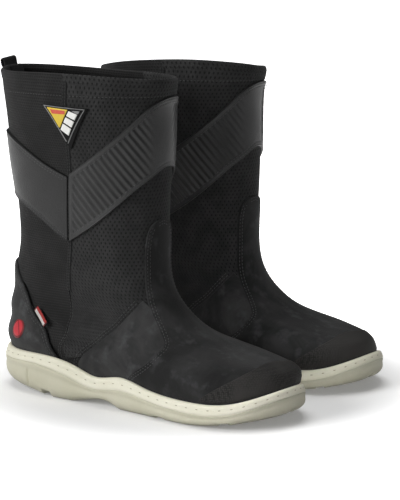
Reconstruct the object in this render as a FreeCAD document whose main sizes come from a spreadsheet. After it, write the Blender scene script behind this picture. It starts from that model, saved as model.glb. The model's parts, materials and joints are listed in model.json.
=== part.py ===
import FreeCAD
import Part
import math
import os
from FreeCAD import Placement, Rotation, Vector

# A pair of knee-low deck boots: rubber cup sole, leather lower, knitted shaft crossed by a
# leather chevron band. One boot's own frame has its heel at x = 0, its toe towards +X, the tread
# at z = 0 and the centre plane at y = 0. The right boot stands at -Y, the left boot at +Y.

doc = FreeCAD.newDocument("deck_boots")
sheet = doc.addObject("Spreadsheet::Sheet", "Dims")

# ---------------------------------------------------------------------------------------------
# Driving dimensions, in millimetres and degrees
# ---------------------------------------------------------------------------------------------
DIMENSIONS = [
    ("bootSpacing", 148.0), ("leftSetback", 14.5), ("leftToeOut", 2.7),
    ("pairShiftX", 0.0), ("pairShiftY", 0.0),
    ("soleSpan", 150.0), ("bottomFlare", 3.9), ("waistFlare", 7.0), ("weltFlare", 5.8),
    ("waistHeight", 13.0), ("flareTop", 48.0), ("wallInner", 2.0), ("wallGap", 0.2),
    ("coreThickness", 3.0), ("coreInset", 1.7), ("shankLength", 60.0), ("shankWidth", 16.0),
    ("shankThickness", 1.2), ("shankStart", 66.0), ("boardThickness", 1.5), ("boardInset", -4.0),
    ("bedThickness", 4.0), ("bedInset", -6.6), ("bedGap", 0.3),
    ("sipeWidth", 1.2), ("sipeDepth", 1.6), ("sipeLength", 46.0), ("sipePitch", 7.0),
    ("sipeCount", 8.0), ("heelSipeCount", 4.0), ("drainWidth", 5.0), ("drainDepth", 1.8),
    ("liningInner", -3.8), ("liningOuter", -2.5), ("clothInner", -2.0), ("clothOuter", -0.6),
    ("puffInner", -1.55), ("puffOuter", -0.65),
    ("leatherInner", 0.0), ("leatherOuter", 1.6), ("bandOuter", 1.4), ("capInner", 2.4),
    ("capOuter", 3.3), ("tapeOuter", 0.8), ("tapeWidth", 5.0), ("stayWidth", 18.0),
    ("badgeInner", 1.2), ("badgeOuter", 2.2), ("inlayOuter", 3.0), ("emblemOuter", 3.4),
    ("emblemRadius", 8.0), ("loopWidth", 16.0), ("loopHeight", 9.0), ("loopThickness", 1.6),
    ("loopDepth", 5.2), ("tabLength", 18.0), ("tabWidth", 6.0), ("tabThickness", 0.9),
    ("tabGap", 0.4), ("beadHeight", 2.4), ("stitchSize", 0.9), ("panelGap", 1.1),
]

# Stations of the last, from the feather edge (a) to the top of the shaft (k). Each is a tilted
# oval: its front point, its back point, its half width and how full its ends are.
STATION_NAMES = "abcdefghijk"
STATION_FIELDS = ["level", "frontX", "frontZ", "backX", "backZ", "halfWidth", "widthLean",
                  "frontFull", "backFull", "medialSwing"]
STATIONS = [
    [0.00, 285.0, 29.0, 4.0, 38.0, 40.5, 0.20, 1.86, 2.57, 6.0],
    [0.05, 286.0, 37.0, 0.0, 48.0, 43.0, 0.16, 1.79, 2.40, 10.0],
    [0.11, 280.0, 42.0, 2.0, 60.0, 39.5, 0.12, 1.59, 2.20, 9.0],
    [0.18, 253.0, 47.0, 3.0, 72.0, 37.0, 0.04, 1.20, 1.90, 9.0],
    [0.27, 208.0, 59.0, 8.0, 87.0, 34.0, -0.02, 0.90, 1.40, 5.0],
    [0.36, 173.0, 84.0, 9.0, 105.0, 34.5, -0.02, 0.70, 1.00, 2.0],
    [0.44, 162.0, 110.0, 14.0, 126.0, 38.3, 0.0, 0.50, 0.70, 0.0],
    [0.54, 162.0, 145.0, 14.0, 152.0, 43.2, 0.0, 0.30, 0.40, 0.0],
    [0.70, 162.5, 199.0, 8.0, 200.0, 50.5, 0.0, 0.20, 0.20, 0.0],
    [0.85, 165.0, 246.0, 5.0, 244.0, 55.8, 0.0, 0.10, 0.10, 0.0],
    [1.00, 161.0, 275.0, -3.0, 273.0, 55.5, 0.0, 0.10, 0.10, 0.0],
]

# Heights along the length of the sole: welt top and the line between welt and outsole.
WAVE_FIELDS = ["along", "weltTop", "weltFoot"]
WAVE = [
    [0.0, 35.4, 25.0], [35.0, 34.9, 26.9], [60.0, 35.6, 27.3], [86.0, 33.8, 23.4],
    [104.0, 29.4, 18.6], [122.0, 24.2, 14.6], [147.0, 27.3, 17.0], [176.0, 23.0, 14.9],
    [225.0, 18.9, 10.5], [262.0, 21.2, 12.8], [300.0, 37.4, 28.6],
]


def fill_sheet():
    """Write every driving dimension into the sheet, one row each, and give it its alias."""
    rows = list(DIMENSIONS)
    for letter, values in zip(STATION_NAMES, STATIONS):
        rows += [(field + "_" + letter, value) for field, value in zip(STATION_FIELDS, values)]
    for letter, values in zip(STATION_NAMES, WAVE):
        rows += [(field + "_" + letter, value) for field, value in zip(WAVE_FIELDS, values)]
    for row, (alias, value) in enumerate(rows, start=1):
        sheet.set("A%d" % row, alias)
        sheet.set("B%d" % row, "%g" % value)
        sheet.setAlias("B%d" % row, alias)


def dim(alias):
    return float(sheet.get(alias))


fill_sheet()
doc.recompute()


# ---------------------------------------------------------------------------------------------
# Smooth curves and the last
# ---------------------------------------------------------------------------------------------
class Curve:
    """Natural cubic spline through knots, for one or several values at a time."""

    def __init__(self, knots, rows):
        self.knots = knots
        self.columns = [list(column) for column in zip(*rows)]
        self.bends = [self.solve(column) for column in self.columns]

    def solve(self, values):
        n = len(self.knots)
        step = [self.knots[i + 1] - self.knots[i] for i in range(n - 1)]
        upper = [0.0] * n
        right = [0.0] * n
        for i in range(1, n - 1):
            slope = ((values[i + 1] - values[i]) / step[i]
                     - (values[i] - values[i - 1]) / step[i - 1])
            pivot = 2.0 * (step[i - 1] + step[i]) - step[i - 1] * upper[i - 1]
            upper[i] = step[i] / pivot
            right[i] = (6.0 * slope - step[i - 1] * right[i - 1]) / pivot
        bend = [0.0] * n
        for i in range(n - 2, 0, -1):
            bend[i] = right[i] - upper[i] * bend[i + 1]
        return bend

    def __call__(self, at):
        at = min(max(at, self.knots[0]), self.knots[-1])
        i = 0
        while i < len(self.knots) - 2 and at > self.knots[i + 1]:
            i += 1
        step = self.knots[i + 1] - self.knots[i]
        a = (self.knots[i + 1] - at) / step
        b = 1.0 - a
        out = []
        for column, bend in zip(self.columns, self.bends):
            out.append(a * column[i] + b * column[i + 1]
                       + ((a ** 3 - a) * bend[i] + (b ** 3 - b) * bend[i + 1]) * step * step / 6.0)
        return out


station_rows = [[dim(field + "_" + letter) for field in STATION_FIELDS]
                for letter in STATION_NAMES]
last_curve = Curve([row[0] for row in station_rows], [row[1:] for row in station_rows])
wave_rows = [[dim(field + "_" + letter) for field in WAVE_FIELDS]
             for letter in STATION_NAMES[:len(WAVE)]]
wave_curve = Curve([row[0] for row in wave_rows], [row[1:] for row in wave_rows])


def welt_top(x):
    return wave_curve(x)[0]


def welt_foot(x):
    return wave_curve(x)[1]


def core_top(x):
    return welt_foot(x) + dim("coreThickness")


FOOT = -0.06    # level of the lasted edge, inside the cup of the sole


def oval(angle, level):
    """Point of the tilted oval at a level; 0 degrees is the front, 90 the lateral side."""
    fx, fz, bx, bz, half, lean, full_f, full_b, swing = last_curve(level)
    c = math.cos(math.radians(angle))
    s = math.sin(math.radians(angle))
    t = (1.0 + c) / 2.0
    full = full_b + (full_f - full_b) * t
    x = (fx + bx) / 2.0 + (fx - bx) / 2.0 * c
    y = swing * t * t - half * (1.0 + lean * c) * s * math.sqrt(1.0 + full * c * c)
    z = (fz + bz) / 2.0 + (fz - bz) / 2.0 * c
    return Vector(x, y, z)


def skin_point(angle, level):
    """Point of the boot's outer skin; levels below 0 run down inside the cup sole."""
    point = oval(angle, max(level, 0.0))
    feather = oval(angle, 0.0)
    ease = max(0.0, 1.0 - max(level, 0.0) / 0.16) ** 2
    top = welt_top(feather.x)
    point.z += ease * (top - feather.z)
    if level < 0.0:
        low = core_top(feather.x) + 4.0 * dim("wallGap")
        point.z = top + (level / -FOOT) * (top - low)
    return point


def skin_normal(angle, level):
    around = skin_point(angle + 0.8, level) - skin_point(angle - 0.8, level)
    high = min(level + 0.012, 1.0)
    low = max(level - 0.012, FOOT)
    along = skin_point(angle, high) - skin_point(angle, low)
    normal = along.cross(around)
    normal.normalize()
    return normal


def skin_offset(angle, level, depth):
    return skin_point(angle, level) + skin_normal(angle, level) * depth


def outline(flare, count=72):
    """Plan of the feather edge, moved out by flare, as points round the boot."""
    ring = [oval(360.0 * i / count, 0.0) for i in range(count)]
    out = []
    for i, point in enumerate(ring):
        tangent = ring[(i + 1) % count] - ring[i - 1]
        normal = Vector(-tangent.y, tangent.x, 0.0)
        normal.normalize()
        if normal.dot(Vector(point.x - 140.0, point.y, 0.0)) < 0.0:
            normal = normal * -1.0
        out.append(Vector(point.x, point.y, 0.0) + normal * flare)
    return out


# ---------------------------------------------------------------------------------------------
# Curved sheets laid on the last
# ---------------------------------------------------------------------------------------------
def path(points):
    """Smooth path through (angle, level) points, even in length from 0 to 1."""
    lengths = [0.0]
    for a, b in zip(points[:-1], points[1:]):
        lengths.append(lengths[-1] + math.hypot((a[0] - b[0]) * 0.85, (a[1] - b[1]) * 300.0))
    return Curve([length / lengths[-1] for length in lengths], points)


def patch(bottom, top, left, right, across, up):
    """Grid of (angle, level) that fills four edge paths (a Coons patch)."""
    grid = []
    for i in range(across + 1):
        s = i / across
        row = []
        for j in range(up + 1):
            t = j / up
            b, u, l, r = bottom(s), top(s), left(t), right(t)
            cell = []
            for k in (0, 1):
                corner = ((1 - s) * (1 - t) * bottom(0.0)[k] + s * (1 - t) * bottom(1.0)[k]
                          + (1 - s) * t * top(0.0)[k] + s * t * top(1.0)[k])
                cell.append((1 - t) * b[k] + t * u[k] + (1 - s) * l[k] + s * r[k] - corner)
            row.append(cell)
        grid.append(row)
    return grid


def strip(first, second, count, across=4):
    """Grid between two paths that run side by side."""
    left = path([first(0.0), second(0.0)])
    right = path([first(1.0), second(1.0)])
    return patch(first, second, left, right, count, across)


def surface(points):
    face = Part.BSplineSurface()
    face.interpolate(points)
    return face


def border(face):
    """The four edges of a surface."""
    u0, u1, v0, v1 = face.bounds()
    return [face.uIso(u0).toShape(), face.uIso(u1).toShape(),
            face.vIso(v0).toShape(), face.vIso(v1).toShape()]


def close_solid(faces, name):
    shell = Part.makeShell(faces)
    shell.sewShape()
    solid = Part.makeSolid(shell)
    if solid.Volume < 0.0:
        solid.reverse()
    if not solid.isValid() or not solid.isClosed():
        fixed = Part.Solid(shell)
        fixed.fix(1e-3, 1e-3, 1e-3)
        solid = fixed if fixed.isValid() else solid
    if not solid.isValid():
        raise RuntimeError(name + " is not a valid solid")
    return solid


def sheet_solid(name, grid, inner, outer, side):
    """Closed sheet of even thickness on the last, between two depths from the skin."""
    def place(point):
        return Vector(point.x, point.y * side, point.z)

    low = surface([[place(skin_offset(a, v, inner)) for a, v in row] for row in grid])
    high = surface([[place(skin_offset(a, v, outer)) for a, v in row] for row in grid])
    faces = [low.toShape(), high.toShape()]
    faces += [Part.makeRuledSurface(a, b) for a, b in zip(border(low), border(high))]
    return close_solid(faces, name)


def closed_ring(edges, name):
    """Solid bounded by ruled faces between closed edges, the last edge joined to the first."""
    faces = [Part.makeRuledSurface(a, b) for a, b in zip(edges, edges[1:] + edges[:1])]
    return close_solid(faces, name)


def closed_edge(points):
    curve = Part.BSplineCurve()
    curve.interpolate(Points=points, PeriodicFlag=True)
    return curve.toShape()


def tube_solid(name, levels, inner, outer, side, count=72):
    """Closed tube round the whole last through these levels, open at both ends."""
    edges = []
    for depth, order in ((outer, levels), (inner, levels[::-1])):
        for level in order:
            ring = [skin_offset(360.0 * i / count, level, depth) for i in range(count)]
            edges.append(closed_edge([Vector(p.x, p.y * side, p.z) for p in ring]))
    return closed_ring(edges, name)


def ring_solid(name, section, side, count=108):
    """Solid of one cross-section carried round the sole; the section is (flare, height rule)."""
    edges = []
    for flare, height in section:
        edges.append(closed_edge([Vector(p.x, p.y * side, height(p.x))
                                  for p in outline(flare, count)]))
    return closed_ring(edges, name)


# ---------------------------------------------------------------------------------------------
# Document objects
# ---------------------------------------------------------------------------------------------
pieces = []


def add_piece(obj, label, boot, local=None):
    """Label a sub-part, stand it with its boot and keep it for the export."""
    obj.Label = label
    obj.Placement = local if local else Placement()
    pieces.append((obj, boot, obj.Placement))
    return obj


def feature(label, boot, shape):
    obj = doc.addObject("Part::Feature", label)
    obj.Shape = shape
    return add_piece(obj, label, boot)


def new_body(label, boot, local=None):
    return add_piece(doc.addObject("PartDesign::Body", label), label, boot, local)


def plane(body, role):
    return [item for item in body.Origin.OriginFeatures if item.Role == role][0]


def new_sketch(body, name, role, height=None):
    sketch = body.newObject("Sketcher::SketchObject", body.Name + "_" + name)
    sketch.AttachmentSupport = [(plane(body, role), "")]
    sketch.MapMode = "FlatFace"
    if height:
        sketch.setExpression("AttachmentOffset.Base.z", height)
    return sketch


def closed_spline(sketch, points):
    curve = Part.BSplineCurve()
    curve.interpolate(Points=points, PeriodicFlag=True)
    sketch.addGeometry(curve, False)


def rectangle(sketch, x0, y0, x1, y1):
    corners = [Vector(x0, y0, 0), Vector(x1, y0, 0), Vector(x1, y1, 0), Vector(x0, y1, 0)]
    polygon(sketch, corners)


def polygon(sketch, corners):
    for a, b in zip(corners, corners[1:] + corners[:1]):
        sketch.addGeometry(Part.LineSegment(a, b), False)


def profile(sketch, upper, lower):
    """Closed side profile: a smooth upper line and a lower line, joined by two uprights."""
    lines = []
    for points in (upper, lower):
        curve = Part.BSplineCurve()
        curve.interpolate(points)
        lines.append(curve)
    sketch.addGeometry(lines[0], False)
    sketch.addGeometry(lines[1], False)
    sketch.addGeometry(Part.LineSegment(upper[0], lower[0]), False)
    sketch.addGeometry(Part.LineSegment(upper[-1], lower[-1]), False)


def span(start, end, step=6.0):
    count = max(3, int(round((end - start) / step)))
    return [start + (end - start) * i / count for i in range(count + 1)]


def line_at(rule, start, end, shift=0.0):
    return [Vector(x, rule(x) + shift, 0.0) for x in span(start, end)]


def pad(body, sketch, length):
    item = body.newObject("PartDesign::Pad", sketch.Name + "_pad")
    item.Profile = sketch
    item.setExpression("Length", length)
    item.Midplane = True
    return item


def pocket(body, sketch, name, length=None):
    item = body.newObject("PartDesign::Pocket", sketch.Name + "_" + name)
    item.Profile = sketch
    if length:
        item.setExpression("Length", length)
    else:
        item.Type = "ThroughAll"
    item.Midplane = True
    return item


def trim_to_outline(body, name, flare, side):
    """Cut away everything outside the sole's plan."""
    sketch = new_sketch(body, name, "XY_Plane")
    rectangle(sketch, -60.0, -120.0, 360.0, 120.0)
    closed_spline(sketch, [Vector(p.x, p.y * side, 0.0) for p in outline(flare)])
    return pocket(body, sketch, "trim")


# ---------------------------------------------------------------------------------------------
# The sole unit
# ---------------------------------------------------------------------------------------------
def make_outsole(boot, side):
    """Rubber outsole: a flared block, shaped from the side, with drains and razor sipes."""
    body = new_body(boot + "_outsole", boot)
    sections = []
    for name, flare, height in (("tread", "bottomFlare", None),
                                ("waist", "waistFlare", "Dims.waistHeight"),
                                ("shoulder", "weltFlare", "Dims.flareTop")):
        sketch = new_sketch(body, name, "XY_Plane", height)
        closed_spline(sketch, [Vector(p.x, p.y * side, 0.0) for p in outline(dim(flare))])
        sections.append(sketch)
    loft = body.newObject("PartDesign::AdditiveLoft", body.Name + "_block")
    loft.Profile = sections[0]
    loft.Sections = sections[1:]
    loft.Ruled = False
    top = new_sketch(body, "top", "XZ_Plane")
    profile(top, [Vector(x, 90.0, 0.0) for x in span(-40.0, 340.0)],
            line_at(welt_foot, -40.0, 340.0, 0.0))
    pocket(body, top, "wave")
    under = new_sketch(body, "under", "XZ_Plane")
    floor = -30.0
    toe = [(222.0, 0.0), (240.0, 1.0), (262.0, 3.6), (285.0, 8.6), (310.0, 17.0)]
    arch = [(96.0, 0.0), (104.0, 1.4), (112.0, 2.9), (121.0, 4.5), (130.0, 5.6), (137.0, 5.0),
            (143.0, 2.6), (149.0, 0.0)]
    heel = [(-20.0, 20.0), (-6.0, 13.5), (6.0, 8.6), (20.0, 6.2), (36.0, 4.6), (50.0, 3.3),
            (62.0, 1.6), (71.0, 0.0)]
    for name, points in (("toe", toe), ("arch", arch), ("heel", heel)):
        curve = Part.BSplineCurve()
        ends = [Vector(points[0][0], points[0][1], 0), Vector(points[-1][0], points[-1][1], 0)]
        curve.interpolate([Vector(x, z, 0.0) for x, z in points])
        under.addGeometry(curve, False)
        drop = [Vector(ends[0].x, floor, 0), Vector(ends[1].x, floor, 0)]
        for a, b in ((ends[0], drop[0]), (drop[0], drop[1]), (drop[1], ends[1])):
            under.addGeometry(Part.LineSegment(a, b), False)
    pocket(body, under, "rocker")
    drains = new_sketch(body, "drains", "XZ_Plane")
    for x, tread in ((61.0, 1.7), (187.5, 0.0), (250.0, 2.2)):
        half = dim("drainWidth") / 2.0
        rectangle(drains, x - half, -5.0, x + half, tread + dim("drainDepth"))
    pocket(body, drains, "cut")
    for name, start, count in (("fore", 163.0, "sipeCount"), ("rear", 73.0, "heelSipeCount")):
        slot = new_sketch(body, name + "_sipe", "XY_Plane")
        half = dim("sipeWidth") / 2.0
        reach = dim("sipeLength") / 2.0
        rectangle(slot, start - half, -reach, start + half, reach)
        cut = body.newObject("PartDesign::Pocket", body.Name + "_" + name + "_slot")
        cut.Profile = slot
        cut.setExpression("Length", "2 * Dims.sipeDepth")
        cut.Midplane = True
        doc.recompute()
        row = body.newObject("PartDesign::LinearPattern", body.Name + "_" + name + "_row")
        row.Originals = [cut]
        row.Direction = (slot, ["H_Axis"])
        row.setExpression("Length", "Dims.sipePitch * (Dims.%s - 1)" % count)
        row.Occurrences = int(dim(count))
        body.Tip = row
        doc.recompute()
    return body


def make_midsole_wall(boot, side):
    """Cream welt wall: a ring round the foot with a stitch groove along its flank."""
    gap = dim("wallGap")
    inner, flare, waist = dim("wallInner"), dim("weltFlare"), dim("waistFlare")
    section = [
        (inner, lambda x: welt_foot(x) + gap),
        (inner, lambda x: welt_top(x) - 0.4),
        (inner + 1.0, lambda x: welt_top(x)),
        (flare - 1.0, lambda x: welt_top(x)),
        (flare, lambda x: welt_top(x) - 1.0),
        (flare + 0.4, lambda x: welt_top(x) - 3.4),
        (flare - 0.8, lambda x: welt_top(x) - 4.0),
        (flare - 0.8, lambda x: welt_top(x) - 5.2),
        (flare + 0.6, lambda x: welt_top(x) - 5.8),
        (waist, lambda x: welt_foot(x) + gap + 1.2),
        (waist - 0.8, lambda x: welt_foot(x) + gap),
    ]
    return feature(boot + "_midsole_wall", boot, ring_solid("midsole wall", section, side))


def make_welt_stitching(boot, side):
    """Thread line that lies in the groove of the welt wall."""
    flare, size = dim("weltFlare"), dim("stitchSize")
    low = 5.1
    section = [
        (flare - 0.7, lambda x: welt_top(x) - low), (flare - 0.7 + size, lambda x: welt_top(x) - low),
        (flare - 0.7 + size, lambda x: welt_top(x) - low + size),
        (flare - 0.7, lambda x: welt_top(x) - low + size),
    ]
    return feature(boot + "_welt_stitching", boot, ring_solid("welt stitching", section, side))


def make_layer(boot, side, name, low, high, flare):
    """A sole layer that follows the side wave between two heights, trimmed to the plan."""
    body = new_body(boot + "_" + name, boot)
    sketch = new_sketch(body, "side", "XZ_Plane")
    profile(sketch, line_at(welt_foot, -20.0, 320.0, high), line_at(welt_foot, -20.0, 320.0, low))
    pad(body, sketch, "Dims.soleSpan")
    trim_to_outline(body, "plan", flare, side)
    return body


def make_midsole_core(boot, side):
    """Soft core inside the cup, with the shank's recess in its top."""
    thick = dim("coreThickness")
    body = make_layer(boot, side, "midsole_core", dim("wallGap"), thick, dim("coreInset"))
    recess = new_sketch(body, "recess", "XZ_Plane")
    start = dim("shankStart") - 0.4
    end = dim("shankStart") + dim("shankLength") + 0.4
    depth = dim("shankThickness") + 0.3
    profile(recess, line_at(welt_foot, start, end, thick + 4.0),
            line_at(welt_foot, start, end, thick - depth))
    pocket(body, recess, "slot", "Dims.shankWidth + 0.8")
    return body


def make_shank(boot):
    """Spring-steel shank that lies in the recess of the core."""
    body = new_body(boot + "_shank", boot)
    start = dim("shankStart")
    end = start + dim("shankLength")
    top = dim("coreThickness") - 0.1
    sketch = new_sketch(body, "side", "XZ_Plane")
    profile(sketch, line_at(welt_foot, start, end, top),
            line_at(welt_foot, start, end, top - dim("shankThickness")))
    pad(body, sketch, "Dims.shankWidth")
    return body


def make_insoles(boot, side):
    """Lasting board on the core, and the loose footbed on the board."""
    base = dim("coreThickness") + dim("wallGap")
    board = base + dim("boardThickness")
    bed = board + dim("bedGap")
    make_layer(boot, side, "insole_board", base, board, dim("boardInset"))
    make_layer(boot, side, "footbed", bed, bed + dim("bedThickness"), dim("bedInset"))


# ---------------------------------------------------------------------------------------------
# The upper: paths on the last, as (angle, level); the medial side mirrors the lateral side
# ---------------------------------------------------------------------------------------------
SIDE_SEAM = [(117.0, FOOT), (116.0, 0.0), (111.0, 0.145), (93.0, 0.35), (84.0, 0.5), (81.0, 0.59),
             (78.0, 0.68), (77.0, 0.775), (77.0, 0.865), (76.0, 0.985)]
VAMP_EDGE = [(86.0, FOOT), (85.0, 0.005), (78.0, 0.06), (70.0, 0.13), (54.0, 0.22), (38.0, 0.30),
             (30.0, 0.355), (24.0, 0.41), (21.0, 0.46), (20.0, 0.51), (18.0, 0.56), (15.0, 0.572)]
QUARTER_EDGE = [(109.0, FOOT), (107.0, 0.01), (100.0, 0.09), (85.0, 0.205), (59.0, 0.31),
                (32.0, 0.375)]
COUNTER_EDGE = [(118.0, FOOT), (117.5, 0.0), (118.5, 0.065), (121.0, 0.145), (125.0, 0.235),
                (131.0, 0.315), (143.0, 0.37)]


def moved(points, angle, level=0.0):
    return [(a + angle, v + level) for a, v in points]


def medial(points):
    return [(-a, v) for a, v in points]


def round_back(points):
    """The medial twin of a lateral path, written as an angle past 180 degrees."""
    return [(360.0 - a, v) for a, v in points]


def make_lining(boot, side):
    """Bootie lining, a sleeve from the footbed to the collar."""
    levels = [FOOT, -0.03, 0.0, 0.015, 0.03] + [0.045 + 0.0175 * i for i in range(26)]
    levels += [0.985 - 0.045 * i for i in range(10, -1, -1)]
    shape = tube_solid("lining", levels, dim("liningInner"), dim("liningOuter"), side)
    return feature(boot + "_lining", boot, shape)


def make_collar_bead(boot, side):
    """Folded hem that closes the rim between the lining and the shell."""
    rise = dim("beadHeight") / 200.0
    levels = [0.9885 + (rise - 0.0005) * i / 3.0 for i in range(4)]
    shape = tube_solid("collar", levels, dim("liningInner"), dim("clothOuter"), side)
    return feature(boot + "_collar_hem", boot, shape)


def cloth_front():
    """Front shaft panel, from one side seam round the front to the other."""
    gap = dim("panelGap")
    left = moved([(113.5, 0.006)] + SIDE_SEAM[2:], -gap)
    low = [left[0], (103.0, 0.05), (85.0, 0.155), (59.0, 0.265), (33.0, 0.335), (0.0, 0.37)]
    bottom = path(low + medial(low[:-1])[::-1])
    rim = [left[-1], (50.0, 0.985), (0.0, 0.985)]
    top = path(rim + medial(rim[:-1])[::-1])
    return patch(bottom, top, path(left), path(medial(left)), 48, 28)


def cloth_rear():
    """Rear shaft panel, from one side seam round the heel side to the other."""
    gap = dim("panelGap")
    left = moved(SIDE_SEAM[2:], gap)
    low = [left[0], (124.0, 0.23), (134.0, 0.31), (150.0, 0.34), (180.0, 0.345)]
    bottom = path(low + round_back(low[:-1])[::-1])
    rim = [left[-1], (125.0, 0.985), (180.0, 0.985)]
    top = path(rim + round_back(rim[:-1])[::-1])
    return patch(bottom, top, path(left), path(round_back(left)), 36, 22)


def vamp():
    """Leather vamp with its tongue up the front of the shaft."""
    foot = [VAMP_EDGE[0], (45.0, FOOT), (0.0, FOOT)]
    head = [VAMP_EDGE[-1], (0.0, 0.576)]
    bottom = path(foot + medial(foot[:-1])[::-1])
    top = path(head + medial(head[:-1])[::-1])
    return patch(bottom, top, path(VAMP_EDGE), path(medial(VAMP_EDGE)), 52, 84)


def quarter(mirror):
    """Leather quarter between the vamp and its own diagonal edge."""
    front = moved(VAMP_EDGE[:7], 1.4, 0.003)
    front[0] = (front[0][0], FOOT)
    front.append((30.5, 0.362))
    back = QUARTER_EDGE
    if mirror:
        front, back = medial(front), medial(back)
    return strip(path(front), path(back), 36, 10)


def counter():
    """Leather heel counter."""
    foot = [COUNTER_EDGE[0], (150.0, FOOT), (180.0, FOOT)]
    head = [COUNTER_EDGE[-1], (160.0, 0.378), (180.0, 0.38)]
    bottom = path(foot + round_back(foot[:-1])[::-1])
    top = path(head + round_back(head[:-1])[::-1])
    return patch(bottom, top, path(COUNTER_EDGE), path(round_back(COUNTER_EDGE)), 30, 30)


def toe_cap():
    """Rubberised toe cap, a crescent laid over the vamp above the welt."""
    low = [(50.0, 0.012), (25.0, 0.018), (0.0, 0.024)]
    high = [(49.0, 0.024), (46.0, 0.034), (37.0, 0.065), (28.0, 0.10), (14.0, 0.14), (0.0, 0.155)]
    return strip(path(low + medial(low[:-1])[::-1]), path(high + medial(high[:-1])[::-1]), 48, 20)


def toe_puff():
    """Stiff cup under the vamp at the toe."""
    low = [(58.0, FOOT), (29.0, FOOT), (0.0, FOOT)]
    high = [(56.0, 0.02), (42.0, 0.07), (25.0, 0.12), (0.0, 0.15)]
    return strip(path(low + medial(low[:-1])[::-1]), path(high + medial(high[:-1])[::-1]), 44, 36)


def heel_stiffener():
    """Moulded stiffener under the counter."""
    low = [(126.0, FOOT), (150.0, FOOT), (180.0, FOOT)]
    high = [(133.0, 0.26), (155.0, 0.305), (180.0, 0.315)]
    return strip(path(low + round_back(low[:-1])[::-1]), path(high + round_back(high[:-1])[::-1]),
                 30, 26)


BAND_FRONT_HIGH = [(78.0, 0.68), (61.0, 0.725), (50.0, 0.755), (36.0, 0.795), (23.0, 0.835),
                   (11.0, 0.865), (0.0, 0.88)]
BAND_FRONT_LOW = [(84.0, 0.50), (62.0, 0.56), (42.0, 0.615), (20.0, 0.66), (0.0, 0.68)]
BAND_REAR_HIGH = [(78.0, 0.68), (87.0, 0.705), (99.0, 0.735), (113.0, 0.757), (135.0, 0.772),
                  (160.0, 0.778), (180.0, 0.78)]
BAND_REAR_LOW = [(84.0, 0.50), (94.0, 0.52), (104.0, 0.545), (117.0, 0.57), (132.0, 0.59),
                 (155.0, 0.605), (180.0, 0.61)]


def band_front():
    """Ribbed front half of the chevron band."""
    inset = 3.6
    low = [(BAND_FRONT_LOW[0][0] - inset, 0.508)] + BAND_FRONT_LOW[1:]
    high = [(BAND_FRONT_HIGH[0][0] - inset, 0.69)] + BAND_FRONT_HIGH[1:]
    return strip(path(low + medial(low[:-1])[::-1]), path(high + medial(high[:-1])[::-1]), 40, 8)


def band_rear():
    """Smooth rear half of the chevron band."""
    inset = 3.6
    low = [(BAND_REAR_LOW[0][0] + inset, 0.508)] + BAND_REAR_LOW[1:]
    high = [(BAND_REAR_HIGH[0][0] + inset, 0.69)] + BAND_REAR_HIGH[1:]
    return strip(path(low + round_back(low[:-1])[::-1]), path(high + round_back(high[:-1])[::-1]),
                 40, 8)


def seam_tape(mirror):
    """Narrow tape that covers the side seam."""
    half = dim("tapeWidth") / 2.0 / 0.9
    line = SIDE_SEAM[3:-1] + [(76.0, 0.98)]
    line = [(a, v) for a, v in line if v > 0.33]
    first, second = moved(line, half), moved(line, -half)
    if mirror:
        first, second = medial(first), medial(second)
    return strip(path(first), path(second), 24, 3)


def back_stay():
    """Webbing stay on the back of the collar, the root of the pull loop."""
    half = dim("stayWidth") / 2.0 / 1.0
    first = [(180.0 - half, 0.79), (180.0 - half, 0.88), (180.0 - half, 0.983)]
    second = [(180.0 + half, 0.79), (180.0 + half, 0.88), (180.0 + half, 0.983)]
    return strip(path(first), path(second), 10, 6)


BADGE = [(92.5, 0.878), (62.5, 0.868), (75.5, 0.775)]


def blend(a, b, amount):
    return (a[0] + (b[0] - a[0]) * amount, a[1] + (b[1] - a[1]) * amount)


def triangle(first, second, third, blunt=0.06):
    """Triangle on the last with a blunt lower corner."""
    left = blend(third, first, blunt)
    right = blend(third, second, blunt)
    return strip(path([first, blend(first, second, 0.5), second]), path([left, right]), 10, 8)


def badge_base():
    """Triangular badge backing on the lateral side of the shaft."""
    return triangle(BADGE[0], BADGE[1], BADGE[2])


def badge_inlay(start, end):
    """A part of the badge's face between two fractions of its top edge."""
    a = blend(BADGE[0], BADGE[1], start)
    b = blend(BADGE[0], BADGE[1], end)
    centre = (76.8, 0.84)
    a, b = blend(a, centre, 0.12), blend(b, centre, 0.12)
    c = blend(BADGE[2], centre, 0.2 + 0.12 * start)
    shift = 3.4 * (start + end - 1.0)
    c = (c[0] - shift, c[1] + 0.004)
    return triangle(a, b, c, 0.14)


EMBLEM = (143.0, 0.088)


def heel_emblem():
    """Round rubber emblem on the lateral side of the counter."""
    centre = skin_point(*EMBLEM)
    per_angle = (skin_point(EMBLEM[0] + 1.0, EMBLEM[1]) - centre).Length
    per_level = (skin_point(EMBLEM[0], EMBLEM[1] + 0.01) - centre).Length / 0.01
    radius = dim("emblemRadius")

    def arc(start, end):
        points = []
        for i in range(7):
            turn = math.radians(start + (end - start) * i / 6)
            points.append((EMBLEM[0] + math.cos(turn) * radius / per_angle,
                           EMBLEM[1] + math.sin(turn) * radius / per_level))
        return path(points)
    return patch(arc(225.0, 315.0), arc(135.0, 45.0), arc(225.0, 135.0), arc(315.0, 405.0), 10, 10)


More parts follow.
